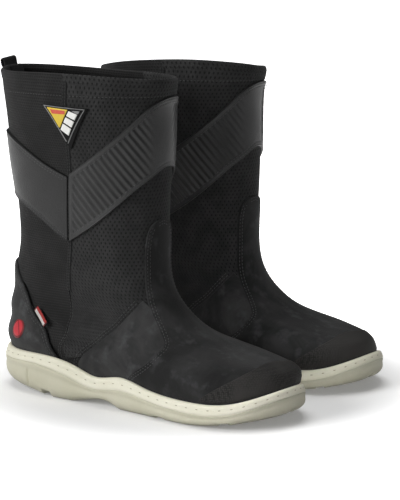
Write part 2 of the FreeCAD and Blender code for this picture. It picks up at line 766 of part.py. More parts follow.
def make_pull_loop(boot):
    """Free end of the pull loop: it stands over the right rim, and hangs inside the left."""
    root = skin_point(180.0, 1.0)
    if boot == "right":
        stand = Placement(Vector(root.x - 1.2, 0.0, root.z + 2.0), Rotation())
    else:
        stand = Placement(Vector(root.x + 11.8, 0.0, root.z - 11.0), Rotation(Vector(0, 1, 0), 164.6))
    body = new_body(boot + "_pull_loop", boot, stand)
    sketch = new_sketch(body, "fold", "XZ_Plane")
    depth, height, thick = dim("loopDepth"), dim("loopHeight"), dim("loopThickness")
    for outer, inset in ((True, 0.0), (False, thick)):
        radius = depth / 2.0 - inset
        arc = Part.Circle(Vector(0.0, height - depth / 2.0, 0.0), Vector(0, 0, 1), radius)
        sketch.addGeometry(Part.ArcOfCircle(arc, 0.0, math.pi), False)
        x = depth / 2.0 - inset
        shoulder = height - depth / 2.0
        sketch.addGeometry(Part.LineSegment(Vector(x, shoulder, 0), Vector(x, 0, 0)), False)
        sketch.addGeometry(Part.LineSegment(Vector(-x, shoulder, 0), Vector(-x, 0, 0)), False)
    for sign in (-1.0, 1.0):
        sketch.addGeometry(Part.LineSegment(Vector(sign * depth / 2.0, 0, 0),
                                            Vector(sign * (depth / 2.0 - thick), 0, 0)), False)
    pad(body, sketch, "Dims.loopWidth")
    return body


TAB_TOP = (126.0, 0.245)
TAB_FOOT = (121.5, 0.165)


def tab_placement(side):
    """Frame of the flag tab: x along the seam, z out of the boot."""
    top = skin_offset(TAB_TOP[0], TAB_TOP[1], dim("leatherOuter") + dim("tabGap"))
    foot = skin_offset(TAB_FOOT[0], TAB_FOOT[1], dim("leatherOuter") + dim("tabGap"))
    normal = skin_normal(*TAB_TOP) + skin_normal(*TAB_FOOT)
    top, foot, normal = [Vector(p.x, p.y * side, p.z) for p in (top, foot, normal)]
    along = foot - top
    along.normalize()
    normal = normal - along * normal.dot(along)
    normal.normalize()
    across = normal.cross(along)
    turn = Rotation(along, across, normal, "XYZ")
    return Placement(top, turn)


def make_flag_tab(boot, side):
    """Woven flag tab, held at its edge in the counter seam."""
    body = new_body(boot + "_flag_tab", boot, tab_placement(side))
    sketch = new_sketch(body, "plan", "XY_Plane")
    width = dim("tabWidth") * side
    rectangle(sketch, 0.0, 0.0, dim("tabLength"), width)
    item = body.newObject("PartDesign::Pad", body.Name + "_pad")
    item.Profile = sketch
    item.setExpression("Length", "Dims.tabThickness")
    return body


def make_upper(boot, side):
    make_lining(boot, side)
    make_collar_bead(boot, side)
    cloth = (dim("clothInner"), dim("clothOuter"))
    puff = (dim("puffInner"), dim("puffOuter"))
    leather = (dim("leatherInner"), dim("leatherOuter"))
    band = (dim("leatherInner"), dim("bandOuter"))
    tape = (dim("leatherInner"), dim("tapeOuter"))
    face = (dim("badgeOuter") + 0.3, dim("inlayOuter"))
    sheets = [
        ("shaft_front_panel", cloth_front(), cloth), ("shaft_rear_panel", cloth_rear(), cloth),
        ("toe_puff", toe_puff(), puff), ("heel_stiffener", heel_stiffener(), cloth),
        ("vamp", vamp(), leather), ("lateral_quarter", quarter(False), leather),
        ("medial_quarter", quarter(True), leather), ("heel_counter", counter(), leather),
        ("toe_cap", toe_cap(), (dim("capInner"), dim("capOuter"))),
        ("band_front", band_front(), band), ("band_rear", band_rear(), band),
        ("lateral_seam_tape", seam_tape(False), tape), ("medial_seam_tape", seam_tape(True), tape),
        ("back_stay", back_stay(), tape),
        ("badge_base", badge_base(), (dim("badgeInner"), dim("badgeOuter"))),
        ("badge_yellow_field", badge_inlay(0.0, 0.53), face),
        ("badge_white_blocks", badge_inlay(0.57, 1.0), face),
        ("heel_emblem", heel_emblem(), (dim("capInner"), dim("emblemOuter"))),
    ]
    for name, grid, (inner, outer) in sheets:
        feature(boot + "_" + name, boot, sheet_solid(name, grid, inner, outer, side))
    make_pull_loop(boot)
    make_flag_tab(boot, side)


for boot_name, mirror_side in (("right", 1.0), ("left", -1.0)):
    make_outsole(boot_name, mirror_side)
    make_midsole_wall(boot_name, mirror_side)
    make_welt_stitching(boot_name, mirror_side)
    make_midsole_core(boot_name, mirror_side)
    make_shank(boot_name)
    make_insoles(boot_name, mirror_side)
    make_upper(boot_name, mirror_side)
doc.recompute()


# ---------------------------------------------------------------------------------------------
# Stand the pair: the origin is at the middle of the pair's box, on the floor
# ---------------------------------------------------------------------------------------------
def stand_pair():
    half = dim("bootSpacing") / 2.0
    shift = Vector(dim("pairShiftX"), dim("pairShiftY"), 0.0)
    spots = {
        "right": Placement(Vector(-150.0, -half, 0.0) + shift, Rotation()),
    }
    turn = Rotation(Vector(0, 0, 1), dim("leftToeOut"))
    heel = turn.multVec(Vector(-150.0, 0.0, 0.0))
    spots["left"] = Placement(heel + Vector(-dim("leftSetback"), half, 0.0) + shift, turn)
    for obj, boot, local in pieces:
        obj.Placement = spots[boot].multiply(local)


def pair_box():
    box = FreeCAD.BoundBox()
    for obj, _, _ in pieces:
        box.add(obj.Shape.optimalBoundingBox(False))
    return box


stand_pair()
doc.recompute()
whole = pair_box()
sheet.set("pairShiftX", "%.3f" % -((whole.XMin + whole.XMax) / 2.0))
sheet.set("pairShiftY", "%.3f" % -((whole.YMin + whole.YMax) / 2.0))
doc.recompute()
stand_pair()
doc.recompute()

# ---------------------------------------------------------------------------------------------
# Check every object, then write the sub-parts
# ---------------------------------------------------------------------------------------------
for item in doc.Objects:
    if "Invalid" in item.State or "Error" in item.State:
        raise RuntimeError("%s failed: %s" % (item.Label, item.State))
os.makedirs("parts", exist_ok=True)
faulty = []
for obj, _, _ in pieces:
    shape = obj.Shape
    if shape.isNull() or not shape.isValid() or len(shape.Solids) != 1 or shape.Volume <= 0.0:
        faulty.append("%s (%d solids)" % (obj.Label, len(shape.Solids)))
if faulty:
    raise RuntimeError("no single valid solid: " + ", ".join(faulty))
for obj, _, _ in pieces:
    obj.Shape.exportStep("parts/%s.step" % obj.Label)
whole = pair_box()
print("box %.1f x %.1f x %.1f mm, lowest %.2f" % (whole.XLength, whole.YLength, whole.ZLength,
                                                  whole.ZMin))
print("pieces %d, pair shift %.3f %.3f" % (len(pieces), dim("pairShiftX"), dim("pairShiftY")))
for obj, boot, _ in pieces:
    if obj.Label.endswith(("pull_loop", "flag_tab")):
        spot = obj.Placement
        axis = spot.Rotation.multVec(Vector(1, 0, 0))
        print(obj.Label, "at %.2f %.2f %.2f" % tuple(spot.Base), "x axis %.4f %.4f %.4f" % tuple(axis))
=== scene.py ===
"""A pair of deck boots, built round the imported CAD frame. Lengths here are millimetres in each
boot's own frame (heel at x = 0, toe towards +X, tread at z = 0) until a mesh is made."""
import json
import math

import bpy
import numpy as np
from mathutils import Matrix, Vector


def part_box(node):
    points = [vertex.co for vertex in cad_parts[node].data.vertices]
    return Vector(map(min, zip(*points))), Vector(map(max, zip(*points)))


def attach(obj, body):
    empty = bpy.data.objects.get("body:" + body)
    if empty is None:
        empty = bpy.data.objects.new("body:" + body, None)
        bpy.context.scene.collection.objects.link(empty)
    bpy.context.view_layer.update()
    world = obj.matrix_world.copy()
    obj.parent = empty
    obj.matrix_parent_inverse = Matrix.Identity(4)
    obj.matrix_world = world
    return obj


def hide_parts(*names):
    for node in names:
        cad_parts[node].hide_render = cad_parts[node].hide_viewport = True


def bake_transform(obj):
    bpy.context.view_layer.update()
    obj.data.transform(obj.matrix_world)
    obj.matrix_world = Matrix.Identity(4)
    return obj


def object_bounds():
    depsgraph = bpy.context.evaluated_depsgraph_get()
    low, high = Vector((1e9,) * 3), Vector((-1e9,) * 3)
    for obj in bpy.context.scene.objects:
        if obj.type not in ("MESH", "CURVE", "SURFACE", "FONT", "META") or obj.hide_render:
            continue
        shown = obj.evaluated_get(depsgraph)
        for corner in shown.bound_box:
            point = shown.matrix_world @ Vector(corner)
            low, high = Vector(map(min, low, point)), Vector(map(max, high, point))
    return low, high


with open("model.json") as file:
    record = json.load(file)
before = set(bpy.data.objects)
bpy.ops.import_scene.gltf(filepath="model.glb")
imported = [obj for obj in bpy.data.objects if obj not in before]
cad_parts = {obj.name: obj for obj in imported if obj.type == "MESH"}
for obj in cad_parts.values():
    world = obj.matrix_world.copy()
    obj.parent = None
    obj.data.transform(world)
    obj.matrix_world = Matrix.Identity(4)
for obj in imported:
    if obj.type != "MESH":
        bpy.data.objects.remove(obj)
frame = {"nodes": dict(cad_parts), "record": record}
cad_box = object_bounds()
record = frame["record"]
MM = 0.001

# ---- The last: the CAD model's stations and sole wave, with a rounder toe and a worn collar
# Each station's level, then the oval's front x and z, back x and z, half width, lean towards one
# end, squareness in front and behind, and swing of the toe to one side
STATIONS = np.array([
    [0.00, 285.0, 29.0, 4.0, 38.0, 40.5, 0.20, 1.86, 2.57, 6.0],
    [0.05, 284.0, 37.0, 1.2, 48.0, 43.0, 0.16, 1.79, 2.40, 10.0],
    [0.11, 276.0, 42.0, 3.8, 60.0, 39.5, 0.12, 1.59, 2.20, 9.0],
    [0.18, 251.5, 47.0, 4.3, 72.0, 37.0, 0.04, 1.20, 1.90, 9.0],
    [0.27, 208.0, 59.0, 8.0, 87.0, 34.0, -0.02, 0.90, 1.40, 5.0],
    [0.36, 173.0, 84.0, 9.0, 105.0, 34.5, -0.02, 0.70, 1.00, 2.0],
    [0.44, 162.0, 110.0, 14.0, 126.0, 38.3, 0.0, 0.50, 0.70, 0.0],
    [0.54, 162.0, 145.0, 14.0, 152.0, 43.2, 0.0, 0.30, 0.40, 0.0],
    [0.70, 162.5, 199.0, 8.0, 200.0, 50.5, 0.0, 0.20, 0.20, 0.0],
    [0.85, 165.0, 246.0, 5.0, 244.0, 55.8, 0.0, 0.10, 0.10, 0.0],
    [1.00, 161.0, 275.0, -3.0, 273.0, 55.5, 0.0, 0.10, 0.10, 0.0],
])
# The sole's wave: x, height of the welt's lip and of its foot
WAVE = np.array([
    [0.0, 35.4, 25.0], [35.0, 34.9, 26.9], [60.0, 35.6, 27.3], [86.0, 33.8, 23.4],
    [104.0, 29.4, 18.6], [122.0, 24.2, 14.6], [147.0, 27.3, 17.0], [176.0, 23.0, 14.9],
    [225.0, 18.9, 10.5], [262.0, 21.2, 12.8], [300.0, 37.4, 28.6],
])
# The outsole's underside: x and height
TREAD = np.array([
    [-20.0, 20.0], [-6.0, 13.5], [6.0, 8.6], [20.0, 6.2], [36.0, 4.6], [50.0, 3.3], [62.0, 1.6],
    [71.0, 0.0], [96.0, 0.0], [104.0, 1.4], [112.0, 2.9], [121.0, 4.5], [130.0, 5.6],
    [137.0, 5.0], [143.0, 2.6], [149.0, 0.0], [222.0, 0.0], [240.0, 1.2], [262.0, 4.0],
    [285.0, 8.6], [310.0, 17.0],
])
# Height of each collar's rim over its plain line, every 30 degrees from the front
RIM = {
    "right": (-0.6, 1.2, 3.8, 4.6, 3.0, 2.0, 2.9, 1.6, -0.4, -2.0, -1.8, -1.2),
    "left": (-1.0, -4.5, -6.7, -6.3, -7.0, -7.5, -7.5, -6.2, -1.2, 3.4, 5.4, 3.0),
}
# How far the collar's front flares out at the rim, and draws in just below it
RIM_FLARE = 6.0
NECK = 1.9
# How far the collar's back leans in towards the front
LEAN = {"right": 0.0, "left": 6.5}
# The lowest level of the upper, inside the cup sole, and its height over the welt's foot
FOOT = -0.06
CORE = 3.8
# Inner and outer depths of the layers, out of the last's skin
LINING = (-3.8, -2.5)
STIFFENER = (-2.1, -0.7)
CLOTH = (-2.0, -0.6)
LEATHER = (0.0, 1.6)
CAP = (1.5, 2.2)
# The footbed's hinge, and a point on the boot's middle line that every outline goes round
FOOTBED_HINGE = (276.0, 0.0, 27.0)
MIDDLE_X = 140.0


# Rough lengths of a degree and of the whole level range on the skin, for evenly spaced paths
MM_PER_DEGREE, MM_PER_LEVEL = 0.85, 300.0


class Curve:
    """Natural cubic spline through knots, for arrays of places and several values at once."""

    def __init__(self, knots, values):
        self.knots = np.asarray(knots, float)
        self.values = np.asarray(values, float).reshape(len(self.knots), -1)
        n = len(self.knots)
        step = np.diff(self.knots)
        matrix = np.eye(n)
        right = np.zeros_like(self.values)
        for i in range(1, n - 1):
            matrix[i, i - 1:i + 2] = step[i - 1], 2.0 * (step[i - 1] + step[i]), step[i]
            right[i] = 6.0 * ((self.values[i + 1] - self.values[i]) / step[i]
                              - (self.values[i] - self.values[i - 1]) / step[i - 1])
        self.bend = np.linalg.solve(matrix, right)

    def __call__(self, at):
        at = np.clip(np.asarray(at, float), self.knots[0], self.knots[-1])
        i = np.clip(np.searchsorted(self.knots, at, side="left") - 1, 0, len(self.knots) - 2)
        step = (self.knots[i + 1] - self.knots[i])[..., None]
        a = (self.knots[i + 1] - at)[..., None] / step
        b = 1.0 - a
        return (a * self.values[i] + b * self.values[i + 1]
                + ((a ** 3 - a) * self.bend[i] + (b ** 3 - b) * self.bend[i + 1]) * step ** 2 / 6.0)


last_curve = Curve(STATIONS[:, 0], STATIONS[:, 1:])
wave_curve = Curve(WAVE[:, 0], WAVE[:, 1:])


def welt_top(x):
    """Height of the welt's lip along the boot."""
    return wave_curve(x)[..., 0]


def welt_foot(x):
    """Height where the welt meets the outsole."""
    return wave_curve(x)[..., 1]


def tread(x):
    """Height of the outsole's underside."""
    return np.interp(x, TREAD[:, 0], TREAD[:, 1])


def ring_angles(count):
    """Even angles once round the boot, in degrees."""
    return np.linspace(0.0, 360.0, count, endpoint=False)


def run_length(points):
    """Length along a line of points, from its first to each."""
    steps = np.linalg.norm(np.diff(points, axis=0), axis=1)
    return np.concatenate([[0.0], np.cumsum(steps)])


def unit(vectors):
    """Vectors scaled to length 1."""
    return vectors / np.linalg.norm(vectors, axis=-1, keepdims=True)


def resample(at, length, values):
    """Rows of values read off at other lengths."""
    values = np.asarray(values)
    return np.stack([np.interp(at, length, column) for column in values.T], -1)


def joint_of(name):
    """The record's joint of this name."""
    return next(joint for joint in record["behaviour"]["joints"] if joint["name"] == name)


def smooth(low, high, at):
    """Smooth step from 0 at low to 1 at high."""
    t = np.clip((np.asarray(at, float) - low) / (high - low), 0.0, 1.0)
    return t * t * (3.0 - 2.0 * t)


def hump(at, centre, width):
    """Bell curve of height 1."""
    return np.exp(-((at - centre) / width) ** 2)


def as_arrays(angle, level):
    """Angles and levels as arrays of one shape."""
    return np.broadcast_arrays(np.asarray(angle, float), np.asarray(level, float))


def oval(angle, level):
    """Tilted oval of the last at a level; 0 degrees is the front, 90 the lateral side."""
    angle, level = as_arrays(angle, level)
    values = np.moveaxis(last_curve(level), -1, 0)
    fx, fz, bx, bz, half, lean, full_f, full_b, swing = values
    c, s = np.cos(np.radians(angle)), np.sin(np.radians(angle))
    t = (1.0 + c) / 2.0
    full = full_b + (full_f - full_b) * t
    x = (fx + bx) / 2.0 + (fx - bx) / 2.0 * c
    y = swing * t * t - half * (1.0 + lean * c) * s * np.sqrt(1.0 + full * c * c)
    z = (fz + bz) / 2.0 + (fz - bz) / 2.0 * c
    return np.stack([x, y, z], -1)


def last_point(angle, level):
    """Point of the boot's smooth outer skin; levels below 0 run down inside the cup sole."""
    angle, level = as_arrays(angle, level)
    point = oval(angle, np.maximum(level, 0.0))
    feather = oval(angle, np.zeros_like(level))
    ease = np.clip(1.0 - np.maximum(level, 0.0) / 0.16, 0.0, 1.0) ** 2
    top = welt_top(feather[..., 0])
    low = welt_foot(feather[..., 0]) + CORE
    z = point[..., 2] + ease * (top - feather[..., 2])
    point[..., 2] = np.where(level < 0.0, top + (level / -FOOT) * (top - low), z)
    return point


def last_normal(angle, level):
    """Outward normal of the skin, from near points to either side, above and below."""
    aside, rise = 0.8, 0.012
    angle, level = as_arrays(angle, level)
    around = last_point(angle + aside, level) - last_point(angle - aside, level)
    along = (last_point(angle, np.minimum(level + rise, 1.0))
             - last_point(angle, np.maximum(level - rise, FOOT)))
    return unit(np.cross(along, around))


def crease(angle, level, seed):
    """Outward swell of the soft shaft: long shallow folds, strongest above the ankle."""
    a = np.radians(np.asarray(angle, float))
    level = np.asarray(level, float)
    soft = smooth(0.36, 0.62, level)
    long = np.sin(2.0 * a + 7.0 * level + seed) * np.sin(13.0 * level + 1.7 * np.sin(a + seed))
    short = np.sin(5.0 * a - 11.0 * level + 2.1 * seed) * np.sin(3.0 * a + 17.0 * level)
    rim = smooth(0.9, 1.0, level) * np.sin(4.0 * a + 1.4 * seed)
    return soft * (long + 0.45 * short) + 0.7 * rim


def rim_lift(angle, level, boot):
    """How far the collar's rim rises or sinks, fading out down the shaft."""
    return boot.rim(np.asarray(angle, float) % 360.0)[..., 0] * smooth(0.86, 1.0, level)


def skin(angle, level, depth, boot):
    """Point at a depth out of the boot's skin, with the soft folds of that boot."""
    angle, level = as_arrays(angle, level)
    point = last_point(angle, level)
    swell = crease(angle, level, boot.seed) + depth
    point = point + last_normal(angle, level) * np.asarray(swell)[..., None]
    ahead = np.cos(np.radians(angle))
    front = smooth(-0.1, 0.8, ahead)
    point[..., 0] += RIM_FLARE * smooth(0.86, 0.985, level) * front
    point[..., 0] -= NECK * hump(level, 0.84, 0.08) * front
    point[..., 0] += LEAN[boot.name] * smooth(0.88, 1.0, level) * smooth(0.1, 0.9, -ahead)
    point[..., 2] += rim_lift(angle, level, boot)
    return point


# Lengths along the skin, so that weaves and stitches keep one scale all over
GAUGE_ANGLES = np.linspace(-185.0, 545.0, 731)
GAUGE_LEVELS = np.linspace(FOOT, 1.0, 160)


def make_gauge():
    """Tables of the length round from the front and up from the rim."""
    points = last_point(GAUGE_ANGLES[None, :], GAUGE_LEVELS[:, None])
    around = np.linalg.norm(np.diff(points, axis=1), axis=-1)
    around = np.concatenate([np.zeros((len(points), 1)), np.cumsum(around, axis=1)], axis=1)
    zero = np.array([np.interp(0.0, GAUGE_ANGLES, row) for row in around])
    around -= zero[:, None]
    up = np.linalg.norm(np.diff(points, axis=0), axis=-1)
    up = np.concatenate([np.zeros((1, points.shape[1])), np.cumsum(up, axis=0)], axis=0)
    return around, up - up[-1:]


GAUGE_AROUND, GAUGE_UP = make_gauge()


def gauge(table, angle, level):
    """A table's value at angles and levels, blended between its four nearest entries."""
    i_end, j_end = len(GAUGE_LEVELS) - 1.0, len(GAUGE_ANGLES) - 1.0
    i = np.clip((level - FOOT) / (1.0 - FOOT) * i_end, 0.0, i_end - 0.001)
    j = np.clip(angle - GAUGE_ANGLES[0], 0.0, j_end - 0.001)
    i0, j0 = i.astype(int), j.astype(int)
    di, dj = i - i0, j - j0
    return ((1 - di) * (1 - dj) * table[i0, j0] + (1 - di) * dj * table[i0, j0 + 1]
            + di * (1 - dj) * table[i0 + 1, j0] + di * dj * table[i0 + 1, j0 + 1])


def outline(flare, angles):
    """Plan of the feather edge, moved out by flare, at these angles round the boot."""
    angles = np.asarray(angles, float)
    point = oval(angles, 0.0)
    tangent = oval(angles + 1.5, 0.0) - oval(angles - 1.5, 0.0)
    normal = unit(np.stack([-tangent[..., 1], tangent[..., 0]], -1))
    outward = (normal[..., 0] * (point[..., 0] - MIDDLE_X) + normal[..., 1] * point[..., 1]) > 0.0
    normal = np.where(outward[..., None], normal, -normal)
    return point[..., :2] + normal * np.asarray(flare, float)[..., None]


# ---- The two boots' places in the row frame
class Boot:
    """Where one boot stands and which way round it is."""

    def __init__(self, name, side, seed):
        joint = joint_of(name + "_footbed_lift")
        self.name = name
        self.side = side
        self.seed = seed
        self.rim = Curve(np.arange(-60.0, 421.0, 30.0), [RIM[name][i % 12] for i in range(-2, 15)])
        turn = math.atan2(-joint["axis"][0], joint["axis"][1])
        self.turn = np.array(Matrix.Rotation(turn, 3, "Z"))
        hinge = np.array(FOOTBED_HINGE) * MM
        self.origin = np.array(joint["pos_m"]) - self.turn @ hinge
        self.body = name + "_boot"

    def mirror(self):
        """Scale that turns the left boot into the right one and back."""
        return np.array([1.0, self.side, 1.0])

    def place(self, points):
        """Points of the boot's own frame, in millimetres, as row-frame metres."""
        points = np.asarray(points, float) * MM * self.mirror()
        return points @ self.turn.T + self.origin


BOOTS = [Boot("right", 1.0, 0.6), Boot("left", -1.0, 2.9)]


# ---- Mesh making
def grid_faces(rows, cols, first=0, wrap_rows=False, wrap_cols=False):
    """Quads of a grid of vertices numbered row by row."""
    i = np.arange(rows if wrap_rows else rows - 1)
    j = np.arange(cols if wrap_cols else cols - 1)
    i, j = np.meshgrid(i, j, indexing="ij")
    i1, j1 = (i + 1) % rows, (j + 1) % cols
    quad = np.stack([i * cols + j, i1 * cols + j, i1 * cols + j1, i * cols + j1], -1)
    return quad.reshape(-1, 4) + first


def rim_faces(rows, cols):
    """Quads that join the borders of two equal grids, the second stored after the first."""
    total = rows * cols
    index = np.arange(total).reshape(rows, cols)
    rim = np.concatenate([index[:, 0], index[-1, 1:], index[-2::-1, -1], index[0, -2:0:-1]])
    after = np.roll(rim, -1)
    return np.stack([rim, rim + total, after + total, after], -1)


def lid(count, cols, column):
    """Quads that close one edge of a ring-shaped grid, from side to side."""
    quads = []
    for i in range(count // 2):
        quad = [i, i + 1, (-i - 1) % count, (-i) % count]
        if len(set(quad)) == 4:
            quads.append([k * cols + column for k in quad])
    return np.array(quads)


def add_object(name, data):
    """An object with this data, linked into the scene."""
    obj = bpy.data.objects.new(name, data)
    bpy.context.scene.collection.objects.link(obj)
    return obj


def make_object(name, boot, points, faces, uv, material, body=None):
    mesh = bpy.data.meshes.new(name)
    placed = boot.place(points)
    faces = np.asarray(faces, int)
    if boot.side < 0:
        faces = faces[:, ::-1]
    mesh.vertices.add(len(placed))
    mesh.vertices.foreach_set("co", placed.astype(np.float32).ravel())
    mesh.loops.add(faces.size)
    mesh.loops.foreach_set("vertex_index", faces.astype(np.int32).ravel())
    mesh.polygons.add(len(faces))
    mesh.polygons.foreach_set("loop_start", (np.arange(len(faces)) * 4).astype(np.int32))
    layer = mesh.uv_layers.new(name="weave")
    layer.data.foreach_set("uv", (np.asarray(uv, float)[faces.ravel()] * MM).astype(np.float32).ravel())
    mesh.update(calc_edges=True)
    mesh.validate()
    mesh.polygons.foreach_set("use_smooth", np.ones(len(mesh.polygons), bool))
    obj = add_object(name, mesh)
    mesh.materials.append(material)
    if body is not False:
        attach(obj, body or boot.body)
    return obj


def path(points):
    """Smooth path through (angle, level) points, even in length from 0 to 1."""
    points = np.asarray(points, float)
    length = run_length(points * [MM_PER_DEGREE, MM_PER_LEVEL])
    return Curve(length / length[-1], points)


def coons(bottom, top, left, right, s, t):
    """Angles and levels of a patch that fills four edge paths, at the fractions s and t."""
    s, t = s[:, None, None], t[None, :, None]
    low, high = bottom(s[:, 0, 0])[:, None, :], top(s[:, 0, 0])[:, None, :]
    first, last = left(t[0, :, 0])[None, :, :], right(t[0, :, 0])[None, :, :]
    corner = ((1 - s) * (1 - t) * bottom(0.0) + s * (1 - t) * bottom(1.0)
              + (1 - s) * t * top(0.0) + s * t * top(1.0))
    cell = (1 - t) * low + t * high + (1 - s) * first + s * last - corner
    return cell[..., 0], cell[..., 1]


def fractions(length, step):
    """Fractions along a length in millimetres, close together near both ends."""
    roll = 1.6
    lead = roll * np.array([0.0, 0.12, 0.32, 0.62, 1.0])
    count = max(2, int(round((length - 2.0 * roll) / step)))
    middle = np.linspace(roll, length - roll, count + 1)
    return np.concatenate([lead[:-1], middle, (length - lead[:-1])[::-1]]) / length


def edge_length(curve):
    """Length of a path on the skin, in millimetres."""
    place = curve(np.linspace(0.0, 1.0, 80))
    return float(run_length(last_point(place[:, 0], place[:, 1]))[-1])


def border_distance(points):
    """Distance from each grid point to the nearest of the grid's four edges."""
    nearest = None
    for axis in (0, 1):
        step = np.linalg.norm(np.diff(points, axis=axis), axis=-1)
        pad = [(0, 0), (0, 0)]
        pad[axis] = (1, 0)
        run = np.pad(np.cumsum(step, axis=axis), pad)
        end = np.take(run, [-1], axis=axis)
        both = np.minimum(run, end - run)
        nearest = both if nearest is None else np.minimum(nearest, both)
    return nearest


def skin_uv(angle, level, point):
    """Weave coordinates: length round the boot, and height."""
    return np.stack([gauge(GAUGE_AROUND, angle, level), point[..., 2]], -1).reshape(-1, 2)


def sheet_faces(rows, cols):
    """Faces of a closed sheet: a grid, its reversed twin stored after it, and their rim."""
    back = grid_faces(rows, cols, rows * cols)[:, ::-1]
    return np.concatenate([grid_faces(rows, cols), back, rim_faces(rows, cols)])


def lay_sheet(name, boot, patch, inner, outer, material, step=2.0, roll=1.3, relief=None):
    """Closed sheet on the last with rolled edges; relief adds height to its outer face."""
    bottom, top, left, right = patch
    s = fractions(max(edge_length(bottom), edge_length(top)), step)
    t = fractions(max(edge_length(left), edge_length(right)), step)
    angle, level = coons(bottom, top, left, right, s, t)
    base = last_point(angle, level)
    edge = border_distance(base)
    fall = np.sqrt(np.clip(1.0 - (1.0 - np.clip(edge / roll, 0.0, 1.0)) ** 2, 0.0, 1.0))
    height = inner + (outer - inner) * fall
    if relief:
        height = height + relief(angle, level, edge)
    high = skin(angle, level, height, boot)
    low = skin(angle, level, inner - 0.02, boot)
    uv = skin_uv(angle, level, base)
    points = np.concatenate([high.reshape(-1, 3), low.reshape(-1, 3)])
    return make_object(name, boot, points, sheet_faces(*angle.shape), np.concatenate([uv, uv]),
                       material)


def lay_tube(name, boot, section, material, count):
    """Ring round the last with a closed cross-section of (level, depth) pairs."""
    section = np.asarray(section, float)
    angle = ring_angles(count)[:, None]
    level = np.broadcast_to(section[None, :, 0], (count, len(section)))
    angle = np.broadcast_to(angle, level.shape)
    points = skin(angle, level, np.broadcast_to(section[None, :, 1], level.shape), boot)
    faces = grid_faces(count, len(section), 0, True, True)
    uv = skin_uv(angle, level, last_point(angle, level))
    return make_object(name, boot, points.reshape(-1, 3), faces, uv, material)


def stitch_row(curve, boot, inset, depth, pitch=3.1, start=0.0, end=1.0, turn=1.0):
    """Places of stitches along a path, moved sideways by inset: centre, run and normal."""
    fine = np.linspace(start, end, 400)
    place = curve(fine)
    points = skin(place[:, 0], place[:, 1], depth, boot)
    normal = last_normal(place[:, 0], place[:, 1])
    run = unit(np.gradient(points, axis=0))
    points = points + np.cross(normal, run) * turn * inset
    length = run_length(points)
    count = int(length[-1] / pitch)
    at = (np.arange(count) + 0.5) * pitch + (length[-1] - count * pitch) / 2.0
    return [resample(at, length, values) for values in (points, run, normal)]


# A stitch's bead: points round it, and (share of its half length, share of its width) steps
STITCH_ROUND = 6
STITCH_STEPS = [(-1.0, 0.05), (-0.86, 0.75), (-0.4, 1.0), (0.4, 1.0), (0.86, 0.75), (1.0, 0.05)]


def stitches(name, boot, rows, length, width, material, sink=0.25):
    """Thread stitches as slim rounded beads, all in one mesh."""
    centre, run, normal = [np.concatenate([row[k] for row in rows]) for k in range(3)]
    run = unit(run)
    side = unit(np.cross(normal, run))
    turn = np.linspace(0.0, 2.0 * np.pi, STITCH_ROUND, endpoint=False)
    bead = []
    for along, fat in STITCH_STEPS:
        for angle in turn:
            droop = -sink * abs(along) ** 3
            bead.append((along * length / 2.0, math.cos(angle) * fat * width / 2.0,
                         math.sin(angle) * fat * width / 2.0 + droop))
    bead = np.array(bead)
    points = (centre[:, None, :] + bead[None, :, 0:1] * run[:, None, :]
              + bead[None, :, 1:2] * side[:, None, :] + bead[None, :, 2:3] * normal[:, None, :])
    one = grid_faces(len(STITCH_STEPS), STITCH_ROUND, 0, False, True)
    caps = np.array([[0, 1, 2, 3], [0, 3, 4, 5]])
    last = (len(STITCH_STEPS) - 1) * STITCH_ROUND
    one = np.concatenate([one, caps, caps[:, ::-1] + last])
    faces = (one[None] + (np.arange(len(centre)) * len(bead))[:, None, None]).reshape(-1, 4)
    uv = np.tile(bead[:, :2], (len(centre), 1))
    return make_object(name, boot, points.reshape(-1, 3), faces, uv, material)


